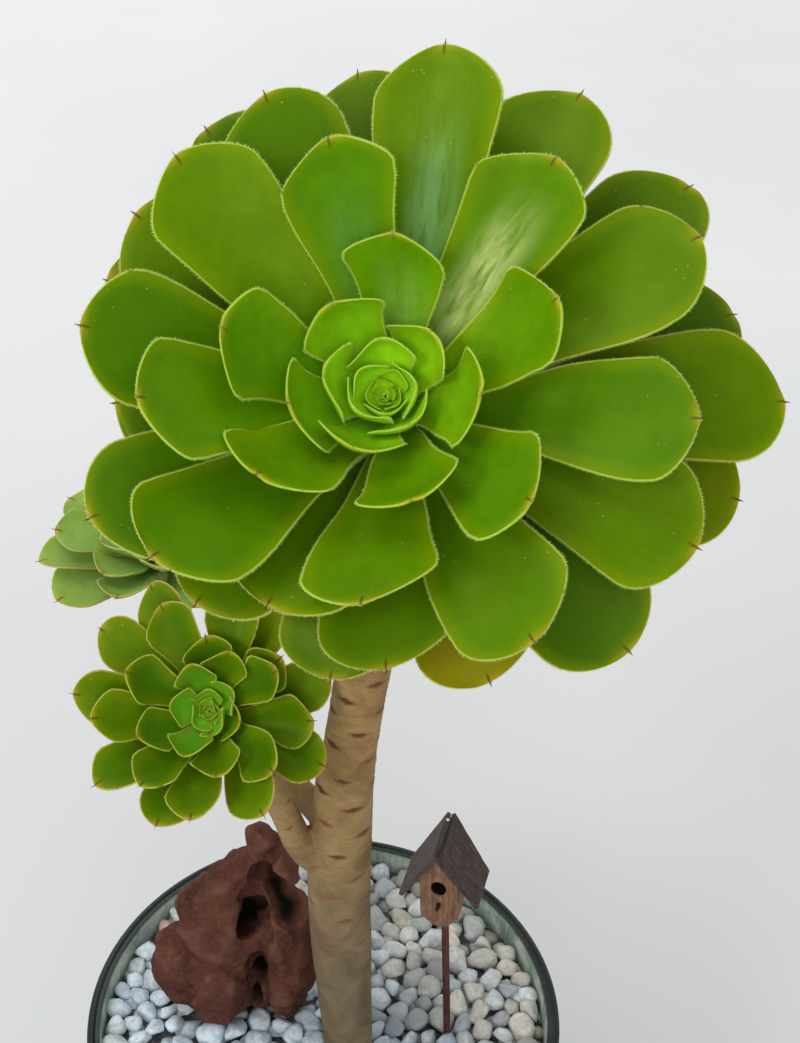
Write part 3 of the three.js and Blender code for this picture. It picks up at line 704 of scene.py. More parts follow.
washed, tree, shader = new_finish("washed_pebbles")
where = places(tree)
tone, warm, rosy = (reading(tree, label) for label in READINGS)
stone = mix(tree, warm, ramp(tree, tone, COOL_TONES), ramp(tree, tone, CREAM_TONES))
stone = mix(tree, rosy, stone, (0.62, 0.42, 0.4))
cloudy = noise(tree, where, 160, 6, 0.6, 0.6)
stone = mix(tree, span(tree, cloudy, 0.36, 0.62, 0.45, 0), stone, (0.22, 0.24, 0.26))
marbled = calc(tree, "SUBTRACT", noise(tree, where, 95, 3, 0.5, 2.5), 0.5)
veins = span(tree, calc(tree, "ABSOLUTE", marbled), 0.03, 0.0, 0, 0.3)
stone = mix(tree, veins, stone, (0.16, 0.13, 0.1))
wire(
    tree, shader,
    Base_Color=stone,
    Roughness=span(tree, cloudy, 0.3, 0.7, 0.42, 0.68),
    Normal=bump(tree, noise(tree, where, 700, 5, 0.6), 0.12, bump(tree, cloudy, 0.5)),
)
dress(gravel, washed, "gravel", "gravel")

# %% [markdown]
# ## The stem
#
# The woody trunk leans and swells, and two branches leave it low down. A round limb is a curve
# with a thickness: each station gives a place and a radius. The three limbs overlap where they
# fork, and a voxel remesh welds them into one skin, which smoothing then rounds at the forks. Each
# limb ends on the axis of the rosette that it carries.

# %% Limbs
def limb(name, stations):
    bpy.ops.object.select_all(action="DESELECT")
    bpy.ops.curve.primitive_bezier_curve_add()
    piece = bpy.context.object
    line = piece.data.splines[0]
    line.bezier_points.add(len(stations) - 2)
    for point, (x, y, z, radius) in zip(line.bezier_points, stations):
        point.co = Vector((x, y, z)) * MM
        point.handle_left_type = point.handle_right_type = "AUTO"
        point.radius = radius * MM
    piece.data.dimensions = "3D"
    piece.data.bevel_depth = 1
    piece.data.bevel_resolution = 8
    piece.data.resolution_u = 10
    piece.data.use_fill_caps = True
    piece.location = (0, 0, 0)
    pick(piece)
    bpy.ops.object.convert(target="MESH")
    piece = bpy.context.object
    piece.name = piece.data.name = name
    return piece


def on_axis(rosette, stations):
    axis = Vector(rosette["axis"]).normalized()
    centre = Vector(rosette["centre"])
    return [(*(centre + axis * height), radius) for height, radius in stations]


# %% Where the limbs and the rosettes are
MAIN = {"centre": (28.6, -44.8, 565.4), "axis": (-0.2, -0.69, 0.69), "first_turn": 192}
FRONT = {"centre": (-41.2, -31.5, 413.6), "axis": (-0.25, -0.71, 0.66), "first_turn": 4}
BACK = {"centre": (-79, 78, 413), "axis": (-0.1, -0.22, 1), "first_turn": 138}
TRUNK = [  # x, y, z and radius of each station, in mm
    (13.5, -18, 148, 11.5), (12.7, -20, 190, 12), (11, -20, 225, 13.1), (9.2, -20, 262, 14.3),
    (8, -20, 300, 14.6), (8.4, -20, 330, 14.4), (10.9, -20, 372, 12.6), (12.9, -20, 389, 11.6),
    (15.7, -20, 413, 11.4), (18.5, -21, 440, 12), (24, -21.5, 490, 11.8),
    *on_axis(MAIN, [(-40.3, 11.2), (-26.3, 11.2)]),
]
FRONT_BRANCH = [
    (2, -22, 318, 8), (-8, -27, 333, 7), (-16, -25, 352, 6.2), (-26, -21, 372, 6),
    *on_axis(FRONT, [(-22.3, 5.6), (-14.3, 5.6)]),
]
BACK_BRANCH = [
    (4, -16, 338, 7.5), (-8, -8, 345, 6.4), (-28, 12, 350, 6), (-52, 42, 358, 6), (-68, 64, 374, 6),
    *on_axis(BACK, [(-22.3, 5.6), (-14.3, 5.6)]),
]

limbs = {"trunk": TRUNK, "front_branch": FRONT_BRANCH, "back_branch": BACK_BRANCH}
stem = joined("woody_stem", [limb(name, stations) for name, stations in limbs.items()])
remeshed(stem)
print("the stem has", len(limbs), "limbs and", len(stem.data.vertices), "points")

# %% [markdown]
# ### Leaf scars
#
# Each leaf that fell left a lens-shaped scar. They climb the stem in the same spiral as the
# leaves, so the golden angle places them. Every point of the skin finds how far it lies from the
# nearest scar, round the stem and along it: that sinks the scar a little, raises its rim, and is
# kept as a reading for the finish.

# %% Pressing the scars in
GOLDEN_ANGLE = 137.508
SCARS = (  # limb, first scar, step from one to the next, half width, half height, and seed
    (TRUNK, 124, 3.3, 6.2, 1.9, 3),
    (FRONT_BRANCH, 14, 3.4, 2.6, 1.0, 4),
    (BACK_BRANCH, 16, 3.6, 2.6, 1.0, 5),
)
SCAR_DEPTH, RIM_HEIGHT = 0.4, 0.28
LINE_STEP = 0.5  # from one point of a limb's middle line to the next, in mm
AT_ONCE = 4000  # how many points look for the middle line in one go, to spare memory


def run_along(line):
    return np.concatenate([[0], np.cumsum(np.linalg.norm(np.diff(line, axis=0), axis=1))])


def read_along(stops, run, line):
    return np.stack([np.interp(stops, run, line[:, k]) for k in range(3)], 1)


def middle_line(stations):
    points = np.array([s[:3] for s in stations], float)
    radii = np.array([s[3] for s in stations], float)
    run = run_along(points)
    along = np.arange(0, run[-1], LINE_STEP)
    return read_along(along, run, points), np.interp(along, run, radii), along


def scarred(skin, stations, start, spacing, wide, tall, seed):
    draw = np.random.default_rng(seed)
    line, radii, along = middle_line(stations)
    near = np.empty(len(skin), int)
    for first in range(0, len(skin), AT_ONCE):
        gap = skin[first:first + AT_ONCE, None] - line[None]
        near[first:first + AT_ONCE] = (gap ** 2).sum(2).argmin(1)
    offset = skin - line[near]
    way = unit(np.gradient(line, axis=0)[near])
    across = unit(np.cross(way, (0, 1, 0)))
    turn = np.arctan2((offset * np.cross(way, across)).sum(1), (offset * across).sum(1))
    climb, radius = along[near], radii[near]
    mine = np.linalg.norm(offset, axis=1) < radius * 1.25
    mark = np.zeros(len(skin))
    rim = np.zeros(len(skin))
    for k in range(int((along[-1] - start) / spacing)):
        at = start + k * spacing + draw.uniform(-0.3, 0.3) * spacing
        angle = math.radians(GOLDEN_ANGLE * k) + draw.uniform(-0.15, 0.15)
        size = draw.uniform(0.75, 1.15)
        strength = draw.uniform(0.6, 1) * min(1, 0.45 + (at - start) / 150)
        dx = (turn - angle + np.pi) % (2 * np.pi) - np.pi
        dx = dx * radius / (wide * size)
        dy = (climb - at - 0.12 * dx * dx * tall) / (tall * size)
        # a lens, drawn out to points at its sides, with the rim just outside it
        far = np.abs(dx) ** 1.6 + np.abs(dy) ** 1.6 * (1 + 1.2 * np.abs(dx))
        mark = np.maximum(mark, strength * np.clip(1.25 - far, 0, 1) * mine)
        rim = np.maximum(rim, strength * np.exp(-((far - 1.35) / 0.35) ** 2) * mine)
    return mark, rim


skin = corners_of(stem) / MM
mark, rim = np.zeros((2, len(skin)))
for scar_row in SCARS:
    mark, rim = np.maximum((mark, rim), scarred(skin, *scar_row))
relief = normals_of(stem) * (RIM_HEIGHT * rim - SCAR_DEPTH * mark)[:, None]
stem.data.vertices.foreach_set("co", ((skin + relief) * MM).ravel())
keep_reading(stem.data, "scar", mark)
stem.data.update()
pushed(stem, "bark", "CLOUDS", 9, 0.5, noise_depth=3)
smooth(stem)
print(int((mark > 0.5).sum()), "of the stem's points lie in a scar")

# %% [markdown]
# ### Bark
#
# Low down the bark is grey-olive and smooth. Higher up it is tan, with the scars red-brown. The
# height blends the two, and a noise squeezed along the stem draws the fine rings of growth.

# %% Bark finish
LOW_BARK = [(0.3, (0.1, 0.075, 0.042)), (0.52, (0.17, 0.13, 0.072)), (0.72, (0.23, 0.185, 0.11))]
HIGH_BARK = [(0.3, (0.22, 0.125, 0.04)), (0.52, (0.35, 0.22, 0.08)), (0.72, (0.46, 0.32, 0.135))]
TURNS_TAN = (0.24, 0.4)  # between these heights, in metres, the bark goes from grey-olive to tan

woody, tree, shader = new_finish("stem_bark", Roughness=0.8, Specular_IOR_Level=0.3)
where = places(tree)
height = axes(tree, where)[2]
patches = noise(tree, where, 60, 6, 0.6, 0.5)
rings = noise(tree, stretched(tree, where, (0.25, 0.25, 1)), 620, 5, 0.62)
tan = span(tree, height, *TURNS_TAN)
bark = mix(tree, tan, ramp(tree, patches, LOW_BARK), ramp(tree, patches, HIGH_BARK))
bark = mix(tree, span(tree, rings, 0.4, 0.62, 0.28, 0), bark, (0.16, 0.09, 0.04))
scar = frayed(tree, reading(tree, "scar"), patches, 0.9)
bark = mix(tree, span(tree, scar, 0.02, 0.4, 0, 0.6), bark, (0.2, 0.075, 0.028))
bark = mix(tree, span(tree, scar, 0.3, 0.85, 0, 0.85), bark, (0.085, 0.02, 0.008))
wire(tree, shader, Base_Color=bark, Normal=bump(tree, rings, 0.2, bump(tree, patches, 0.6)))
dress(stem, woody, "stem", "stem")

# %% [markdown]
# ## Leaves
#
# A rosette is one leaf repeated by a rule: each new leaf turns by the golden angle from the one
# before, and its size and pose follow its age. So one blade is modelled flat, as a grid that the
# Solidify modifier gives two faces, and every leaf is that blade bent along its own midrib.

# %% One flat blade
def blade(across, along):
    piece = primitive("grid", "blade", x_subdivisions=across, y_subdivisions=along, size=2)
    modify(piece, "SOLIDIFY", thickness=1.0, offset=0.0)
    corners = corners_of(piece)
    faces = faces_of(piece)
    bpy.data.objects.remove(piece)
    column = np.rint((corners[:, 0] + 1) / 2 * across).astype(int)
    row = np.rint((corners[:, 1] + 1) / 2 * along).astype(int)
    lift = np.sign(corners[:, 2])
    return {"column": column, "row": row, "lift": lift, "faces": faces, "rows": along}


LARGE_BLADE, SMALL_BLADE = blade(12, 28), blade(10, 18)
# where the blade's columns lie, from one margin at -1 to the other at 1
LARGE_COLUMNS = np.array([
    -1, -0.955, -0.86, -0.7, -0.47, -0.23, 0, 0.23, 0.47, 0.7, 0.86, 0.955, 1,
])
SMALL_COLUMNS = np.array([-1, -0.94, -0.8, -0.55, -0.27, 0, 0.27, 0.55, 0.8, 0.94, 1])
print("a large blade has", len(LARGE_BLADE["faces"]), "faces, a small one",
      len(SMALL_BLADE["faces"]))

# %% [markdown]
# ### The rule of growth
#
# The tables hold what changes with a leaf's number, from the youngest at the middle outwards, and
# the values between two listed leaves are blended. Reach and height place a leaf's tip, and the
# same for its root. Rise and droop are the angles at which it leaves its root and meets its tip.
# Shoulder, corner, blunt, round and neck shape its outline, and cup lifts its margins. Numbers
# below zero are buds in the heart, each smaller than the one before.

# %% Growth tables
MAIN["growth"] = {
    "leaf": [0, 4, 8, 12, 16, 20, 25, 30, 38, 51],
    "reach": [6.6, 10.3, 18.7, 30, 49.6, 69.3, 96.4, 102, 112, 113],
    "height": [20.6, 27, 31, 38, 47, 53, 41, 34, 11, -5],
    "root_reach": [2, 3, 5, 7, 8, 9, 10, 10.5, 11, 11],
    "root_height": [14, 12, 9, 6, 3, 0, -4, -8, -14, -22],
    "width": [11, 20, 28, 34.5, 38.5, 42, 45, 46.5, 46, 43],
    "rise": [-10, -5, -4, 0, 6, 10, 12, 14, 20, 24],
    "droop": [-50, -45, -35, -28, -22, -14, -4, 8, 18, 25],
    "shoulder": [0.5, 0.55, 0.74, 0.86, 0.86, 0.86, 0.85, 0.83, 0.82, 0.82],
    "corner": [0.1, 0.15, 0.6, 0.95, 0.85, 0.7, 0.4, 0.25, 0.2, 0.2],
    "blunt": [2.0, 1.9, 1.4, 1.15, 1.2, 1.3, 1.6, 1.8, 1.9, 1.9],
    "round": [0.52, 0.55, 0.78, 0.88, 0.84, 0.78, 0.66, 0.6, 0.58, 0.58],
    "neck": [0.5, 0.42, 0.36, 0.32, 0.29, 0.27, 0.25, 0.24, 0.24, 0.24],
    "cup": [0.95, 0.9, 0.6, 0.34, 0.26, 0.2, 0.13, 0.09, 0.06, 0.06],
}
FRONT["growth"] = {
    "leaf": [0, 6, 12, 18, 24, 33],
    "reach": [5, 16.5, 31, 41.5, 50, 57],
    "height": [12, 20, 25, 21, 15, 6],
    "root_reach": [1.5, 3, 4.5, 5.5, 6, 6],
    "root_height": [9, 6, 3, 0, -4, -11],
    "width": [13, 19, 22, 23, 23.5, 22.5],
    "rise": [-5, 0, 8, 12, 16, 20],
    "droop": [-45, -38, -24, -8, 8, 20],
    "shoulder": [0.5, 0.7, 0.8, 0.82, 0.81, 0.8],
    "corner": [0.1, 0.5, 0.8, 0.6, 0.4, 0.3],
    "blunt": [2.0, 1.5, 1.3, 1.45, 1.6, 1.8],
    "round": [0.52, 0.7, 0.8, 0.7, 0.64, 0.6],
    "neck": [0.5, 0.34, 0.19, 0.16, 0.15, 0.15],
    "cup": [0.95, 0.85, 0.62, 0.48, 0.34, 0.22],
}
BACK["growth"] = {**FRONT["growth"], "width": [11, 20, 25, 27.5, 28.5, 27.5]}

# %% [markdown]
# ### Where leaves stray from the rule
#
# A plant is never quite regular, so some leaves are listed again. Strays give the turn, in
# degrees, and the share of length by which a leaf strayed. Shears slide one margin forward along
# the leaf and the other back. Sunken leaves hang lower at the tip, by so many millimetres. Worn
# leaves are yellowed, and painted sheens are pale streaks of painted highlight, bluish where the
# number is below zero and creamy above it. Slants make the whole rosette longer or higher on one
# side, as it leans towards the light, and loose says how far its leaves may roll about their
# midribs.

# %% The leaves that stray
MAIN.update(
    youngest=-10, oldest=51, lost=(), reach_slant=(0.094, 0.134), lift_slant=(-0.238, 0.062),
    loose=0.16, blade=LARGE_BLADE, columns=LARGE_COLUMNS,
    worn={48: 0.45, 49: 0.75, 50: 0.5, 46: 0.2},
    # painted highlight: these leaves carry pale streaks that stand for the sheen of reflected light
    scuffs={22: 0.72, 27: -0.45, 19: -0.12, 14: 0.12},
    sunken={44: 5},
    shears={
        12: -0.2, 14: 0.0, 15: 0.05, 16: 0.05, 17: 0.0, 18: 0.3, 20: 0.4, 23: 0.35, 28: 0.25,
        36: 0.2, 10: 0.1,
    },
    strays={
        1: (12, 1), 4: (7, 1), 6: (4, 1), 9: (12, 1), 10: (0, 1.2), 12: (10, 1.1), 13: (-6, 0.9),
        14: (15, 1.05), 15: (0, 1.1), 16: (13, 1), 17: (8, 1.05), 18: (-10, 0.95), 19: (0, 1.05),
        20: (0, 0.95), 21: (7, 1.05), 22: (4, 1), 26: (7, 1.1), 27: (0, 1.03), 28: (0, 1.05),
        29: (7, 1), 31: (-4, 0.92), 32: (0, 0.95), 33: (0, 1.05), 34: (11, 1.12), 36: (-11, 0.95),
        37: (0, 0.95), 38: (-5, 1.08), 40: (5, 0.95), 41: (0, 1.05), 42: (5, 0.9), 44: (-4, 1),
        48: (0, 0.93), 49: (-5, 0.95), 51: (0, 0.95),
    },
)
SMALL = {"blade": SMALL_BLADE, "columns": SMALL_COLUMNS, "scuffs": {}, "sunken": {}, "shears": {}}
FRONT.update(
    youngest=-9, oldest=33, lost=(30, 32), reach_slant=(-0.05, 0), lift_slant=(-0.25, -0.18),
    loose=0.42, worn={31: 0.2}, **SMALL,
    strays={
        6: (0, 1.15), 7: (-15, 1), 8: (0, 0.7), 13: (12, 1.12), 15: (-8, 0.8), 16: (0, 1.1),
        18: (-11, 0.9), 20: (-18, 1.05), 25: (8, 1), 26: (-11, 1), 27: (0, 0.9), 28: (5, 1.1),
    },
)
BACK.update(
    youngest=-5, oldest=30, lost=(), reach_slant=(0, 0), lift_slant=(0, 0),
    loose=0.25, worn={30: 0.2}, **SMALL,
    strays={18: (0, 1.15), 20: (-16, 0.95), 23: (-17, 1.16), 26: (-13, 1.08), 28: (-28, 1.05)},
)


def leaf_numbers(rosette):
    every = range(rosette["youngest"], rosette["oldest"] + 1)
    return [number for number in every if number not in rosette["lost"]]


print("leaves by rule:", [len(leaf_numbers(rosette)) for rosette in (MAIN, FRONT, BACK)])

# %% [markdown]
# ### Bending one blade into a leaf
#
# The midrib is a Bezier curve from the leaf's root to its tip. Along it the width swells to the
# shoulder, rounds off, and ends in a small hard point. The rows of the blade are set closer
# together towards the tip, where the outline turns quickly, and the outline is softened where the
# swelling and the rounding meet.

# %% The midrib and the outline of a leaf
BUD_SHARE = 0.84  # each bud is this much of the one before
ROOT_HANDLE, TIP_HANDLE = 0.36, 0.34  # the curve's handles, as shares of the leaf's length
SOFT_CORNER = 3.2  # how far each way the outline is rounded at the shoulder, in mm
SPIKE_HALVES = np.array((2.2, 1.0, 0.1))  # the end point's half widths, row by row, in mm
SPIKE_STOPS = np.array((0.3, 1.0, 1.9))  # and how far past the leaf's end they lie
SPIKE_SHARES = np.array((0.75, 0.4, 0.1))  # the most that each may be of the end of the outline


def direction(angle):
    return np.array((math.cos(angle), math.sin(angle)))


def bezier(knots, s):
    a, b, c, d = knots
    spot = (1 - s) ** 3 * a + 3 * s * (1 - s) ** 2 * b + 3 * s * s * (1 - s) * c + s ** 3 * d
    way = (1 - s) ** 2 * (b - a) + 2 * s * (1 - s) * (c - b) + s * s * (d - c)
    return spot, unit(way)


def midrib(rosette, number, grown, bud, bearing):
    long = rosette["strays"].get(number, (0, 1))[1] * bud
    sway = direction(bearing)
    sink = grown["height"] - grown["root_height"] - 1.5
    root = np.array((grown["root_reach"] * bud, grown["root_height"] + sink * (1 - bud)))
    lift = grown["reach"] * (sway @ rosette["lift_slant"]) - rosette["sunken"].get(number, 0)
    tip = np.array((
        grown["reach"] * (1 + sway @ rosette["reach_slant"]), grown["height"] + lift,
    ))
    chord = (tip - (grown["root_reach"], grown["root_height"])) * long
    length = np.linalg.norm(chord)
    slope = math.atan2(chord[1], chord[0])
    start_way = direction(slope + math.radians(grown["rise"]))
    end_way = direction(slope - math.radians(grown["droop"]))
    handles = (ROOT_HANDLE * length * start_way, TIP_HANDLE * length * end_way)
    return [root, root + handles[0], root + chord - handles[1], root + chord], length


def outline(grown, half, length, rows):
    shoulder = grown["shoulder"]
    lower = rows // 2
    upper = rows - lower - len(SPIKE_STOPS)
    below = np.linspace(0, shoulder, lower + 1)
    x = 1 - (1 - 0.975 * np.arange(1, upper + 1) / upper) ** 2
    climb = below / shoulder
    straight, curved = climb ** 1.25, np.sin(climb * math.pi / 2) ** 1.8
    swollen = grown["corner"] * straight + (1 - grown["corner"]) * curved
    swell = grown["neck"] + (1 - grown["neck"]) * swollen
    rounded = (1 - x ** grown["blunt"]) ** grown["round"]
    spike = min(1.0, half / 12)
    point = np.minimum(SPIKE_HALVES * spike, SPIKE_SHARES * half * rounded[-1])
    t = np.concatenate([below, shoulder + x * (1 - shoulder), 1 + SPIKE_STOPS * spike / length])
    halves = np.concatenate([half * swell, half * rounded, point])
    reach = SOFT_CORNER * min(1, half / 14) / length
    shifts = np.linspace(-reach, reach, 9)
    soft = np.mean([np.interp(t + shift, t, halves) for shift in shifts], axis=0)
    return t, halves + (soft - halves) * np.exp(-((t - shoulder) / (1.5 * reach)) ** 2)


def leaf_rows(rosette, number, bearing):
    growth = rosette["growth"]
    grown = {name: np.interp(number, growth["leaf"], values) for name, values in growth.items()}
    bud = BUD_SHARE ** max(-number, 0)
    knots, length = midrib(rosette, number, grown, bud, bearing)
    t, halves = outline(grown, grown["width"] * bud / 2, length, rosette["blade"]["rows"])
    spot, way = bezier(knots, np.clip(t, 0, 1)[:, None])
    spot = spot + way * np.clip(t - 1, 0, 1)[:, None] * length
    return {"t": t, "half": halves, "spot": spot, "way": way, "length": length, "cup": grown["cup"]}


# %% [markdown]
# ### From rows to points
#
# Every point of the blade knows its row, its column and whether it is on the upper or the lower
# skin. Its row places it on the midrib and its column takes it sideways. Then the leaf is cupped,
# given its thickness and a groove along the middle, and stirred a little by chance: a wave, a
# twist, a roll about the midrib, a ripple of the margin and a sway from side to side.

# %% One leaf's points
MARGIN_THICK = 0.36
ROOT_THICK, THINNING = 1.2, 0.45  # half the thickness at the root, and what it loses by the tip
GROOVE_DEPTH, GROOVE_WIDTH = 0.45, 0.3
RIPPLE = 0.032
USUAL_SHEAR = 0.08
APART = 300  # keeps the fibres of one leaf from lining up with those of the next


def rosette_frame(rosette):
    axis = unit(np.array(rosette["axis"], float))
    across = unit(np.array((1.0, 0, 0)) - axis[0] * axis)
    return np.array(rosette["centre"], float), axis, across, np.cross(axis, across)


def bent_leaf(rosette, number, draw):
    centre, axis, across, away = rosette_frame(rosette)
    turn = rosette["strays"].get(number, (0, 1))[0]
    bearing = math.radians(rosette["first_turn"] - GOLDEN_ANGLE * number + turn)
    rows = leaf_rows(rosette, number, bearing)
    out = math.cos(bearing) * across + math.sin(bearing) * away
    side = math.sin(bearing) * across - math.cos(bearing) * away
    row, lift = rosette["blade"]["row"], rosette["blade"]["lift"]
    u = rosette["columns"][rosette["blade"]["column"]]
    t, half, length = rows["t"][row], rows["half"][row], rows["length"]
    spot, way = rows["spot"][row], rows["way"][row]
    up_to_tip = np.clip(t, 0, 1)
    face = -way[:, 1:] * out + way[:, :1] * axis
    full = rows["half"].max()

    cup = (0.16 * np.clip(1 - t, 0, 1) + rows["cup"] * up_to_tip * half / full) * half
    wave_height = draw.uniform(0.3, 0.9) * full / 20 * (1 + min(1, max(0, number) / 25))
    wave = wave_height * np.sin(draw.uniform(3, 6) * t * 2 + draw.uniform(0, FULL_TURN) + u)
    twist = draw.uniform(-0.05, 0.05) * half * u * t
    thick = np.clip(ROOT_THICK - THINNING * t, 0.3, 2) * min(1, full / 11)
    margin = MARGIN_THICK * min(1, full / 11)
    thin = np.clip(half / 4, 0, 1)
    skin_lift = lift * (margin * (0.35 + 0.65 * thin) + (thick - margin) * (1 - u * u) * thin)
    hollow = np.exp(-(u / GROOVE_WIDTH) ** 2) * (lift > 0) * thin * np.sin(up_to_tip * math.pi)
    rise = cup * u * u + wave * u * u * thin + twist + skin_lift - GROOVE_DEPTH * hollow

    shear = rosette["shears"].get(number, USUAL_SHEAR) + draw.uniform(-0.1, 0.1)
    roll = (draw.uniform(-1, 1) * rosette["loose"] * up_to_tip)[:, None]
    pulse = np.sin(draw.uniform(9, 15) * t + draw.uniform(0, FULL_TURN) + 1.7 * np.sign(u))
    ripple = 1 + RIPPLE * pulse * np.abs(u)
    sway = draw.uniform(-0.022, 0.022) * length * np.sin(up_to_tip * math.pi)
    forward = way[:, :1] * out + way[:, 1:] * axis
    middle = centre + spot[:, :1] * out + spot[:, 1:] * axis
    middle = middle + forward * (shear * u * half * up_to_tip ** 2)[:, None]
    rolled_side = side * np.cos(roll) + face * np.sin(roll)
    face = face * np.cos(roll) - side * np.sin(roll)
    points = middle + rolled_side * (u * half * ripple + sway)[:, None] + face * rise[:, None]
    readings = {
        "along": up_to_tip,
        "near_edge": np.minimum((1 - np.abs(u)) * half, np.clip(1 - t, 0, 1) * length),
        "to_tip": (rows["t"].max() - t) * length,
        "age": np.full(len(u), np.clip(number / rosette["oldest"], 0, 1)),
        "tint": np.full(len(u), draw.uniform(0, 1)),
        "worn": np.full(len(u), rosette["worn"].get(number, 0.0)),
        "scuff": np.full(len(u), rosette["scuffs"].get(number, 0.0)),
        "across": u * half,
        "lengthwise": t * length + APART * number,
    }
    return points, readings, face


# %% [markdown]
# ### Hairs on the margins
#
# The margin of each leaf carries a fringe of stiff pale hairs, hardly a millimetre long. One hair
# is a three-sided cone. Its copies stand at even steps along both margins, each lying in the plane
# of the blade and square to the outline, with its length and lean drawn at random.

# %% Margin hairs
BALD_ENDS = 2  # rows without hairs at the root and at the tip
HAIR_STOUT, HAIR_LEAN, HAIR_SUNK = 0.52, 0.35, 0.12  # its width, lean and depth in the margin

hair = primitive(
    "cone", "hair_pattern", vertices=3, radius1=0.5, radius2=0, depth=1, location=(0, 0, 0.5),
)
settle(hair)
hair_corners = corners_of(hair)
hair_faces = faces_of(hair)
bpy.data.objects.remove(hair)


def margin_points(rosette, edge, above):
    row, lift = rosette["blade"]["row"], rosette["blade"]["lift"]
    at_edge = rosette["columns"][rosette["blade"]["column"]] == edge
    chosen = np.flatnonzero(at_edge & (lift > 0 if above else lift < 0))
    return chosen[np.argsort(row[chosen])][BALD_ENDS:-BALD_ENDS]


def fringe(rosette, points, face, draw, step, tall):
    hairs = []
    for edge in (-1, 1):
        on_top = margin_points(rosette, edge, above=True)
        below = margin_points(rosette, edge, above=False)
        line = (points[on_top] + points[below]) / 2
        run = run_along(line)
        if run[-1] < 3 * step:
            continue
        stops = np.arange(step, run[-1], step)
        stops = stops + draw.uniform(-0.3, 0.3, len(stops)) * step
        at = read_along(stops, run, line)
        tangent = unit(read_along(stops + 0.4, run, line) - read_along(stops - 0.4, run, line))
        normal = read_along(stops, run, face[on_top])
        outward = np.cross(tangent, normal) * edge
        outward += HAIR_LEAN * tangent + normal * draw.uniform(-0.25, 0.35, len(stops))[:, None]
        outward = unit(outward)
        height = tall * draw.uniform(0.6, 1.1, len(stops))
        stout = np.full(len(stops), HAIR_STOUT * tall)
        pattern = hair_corners[None] * np.stack([stout, stout, height], 1)[:, None]
        placed = at[:, None] - HAIR_SUNK * outward[:, None]
        placed = placed + pattern[..., :1] * tangent[:, None] * edge
        placed = placed + pattern[..., 1:2] * normal[:, None]
        hairs.append(placed + pattern[..., 2:] * outward[:, None])
    return hairs


# %% A whole rosette
YOUNGEST_WITH_HAIRS = 4  # the number of the first leaf whose margins are open


def rosette_piece(name, rosette, seed, step, tall):
    draw = np.random.default_rng(seed)
    points, readings, hairs = [], [], []
    for number in leaf_numbers(rosette):
        leaf, values, face = bent_leaf(rosette, number, draw)
        points.append(leaf)
        readings.append(values)
        if number >= YOUNGEST_WITH_HAIRS:
            hairs += fringe(rosette, leaf, face, draw, step, tall)
    gathered = {label: np.array([each[label] for each in readings]) for label in readings[0]}
    leaves = copies(name, rosette["blade"]["faces"], np.array(points) * MM, gathered)
    fringes = copies(name + "_hairs", hair_faces, np.concatenate(hairs) * MM, {})
    pick(fringes)
    bpy.ops.object.shade_flat()
    print(name, "has", len(points), "leaves and", sum(len(each) for each in hairs), "hairs")
    return leaves, fringes


# the step from hair to hair and their length, in mm, come last
main_leaves, main_hairs = rosette_piece("main_leaves", MAIN, 21, 0.85, 1.0)
front_leaves, front_hairs = rosette_piece("front_leaves", FRONT, 22, 1.0, 0.65)
back_leaves, back_hairs = rosette_piece("back_leaves", BACK, 23, 1.2, 0.65)

# %% [markdown]
# ### The woody heart under the leaves
#
# The leaves grow from the tip of the limb, a short thick cone that shows here and there between
# their roots. It is one more limb, whose stations follow the roots of the leaves.

# %% Hearts
HEART_SHARES = (1, 0.75, 0.5, 0.25, 0)  # of the oldest leaf's number, from the foot up
HEART_SWELL = 1.25  # how much wider the heart is than the ring of the leaves' roots
MAIN_FOOT, SMALL_FOOT = -25.7, -13.7


def heart(name, rosette, foot):
    growth = rosette["growth"]
    numbers = [share * rosette["oldest"] for share in HEART_SHARES]
    heights = [np.interp(n, growth["leaf"], growth["root_height"]) - 1.0 for n in numbers]
    radii = [HEART_SWELL * np.interp(n, growth["leaf"], growth["root_reach"]) for n in numbers]
    return limb(name, on_axis(rosette, [(foot, radii[0] * 0.8), *zip(heights, radii)]))


hearts = [
    heart("main_heart", MAIN, MAIN_FOOT),
    heart("front_heart", FRONT, SMALL_FOOT),
    heart("back_heart", BACK, SMALL_FOOT),
]
for piece in hearts:
    smooth(piece)
print("hearts:", [piece.name for piece in hearts])

# %% [markdown]
# ### The leaf's finish
#
# A succulent leaf is satin green, brighter near the middle of the rosette, and bluer and paler at
# its root, where its wax lies and a painted sheen stands for the light that the wax reflects. The
# greens by age partly hold painted light too: a glow through the young leaves of the big rosette,
# and painted shade on the inner leaves of the small front one. A thin yellow-green line runs along
# the margin, and the point is brown. Old leaves carry dust and brown flecks, and a few leaves carry
# streaks of painted highlight. The readings kept on the points say where each of these belongs,
# and the colours are laid over each other one by one.

# %% Leaf finish
LEAF_READINGS = (
    "along", "near_edge", "to_tip", "age", "tint", "worn", "scuff", "across", "lengthwise",
)
SHEEN_MIDDLE, SHEEN_HALF = 1.5, (13, 1)  # where a painted highlight lies across the leaf, and how it fades
BLUE_SHEEN, CREAM_SHEEN = (0.34, 0.66, 0.26), (0.72, 0.76, 0.28)


def leaf_green(tree, age, cloud, young_and_glow, grown_up_and_shade, old):
    middling = tuple(0.45 * a + 0.55 * b for a, b in zip(grown_up_and_shade, old))
    green = ramp(tree, age, [(0.1, young_and_glow), (0.29, grown_up_and_shade), (0.5, middling), (0.8, old)])
    return mix(tree, span(tree, cloud, 0.3, 0.7, 0, 0.35), green, old)


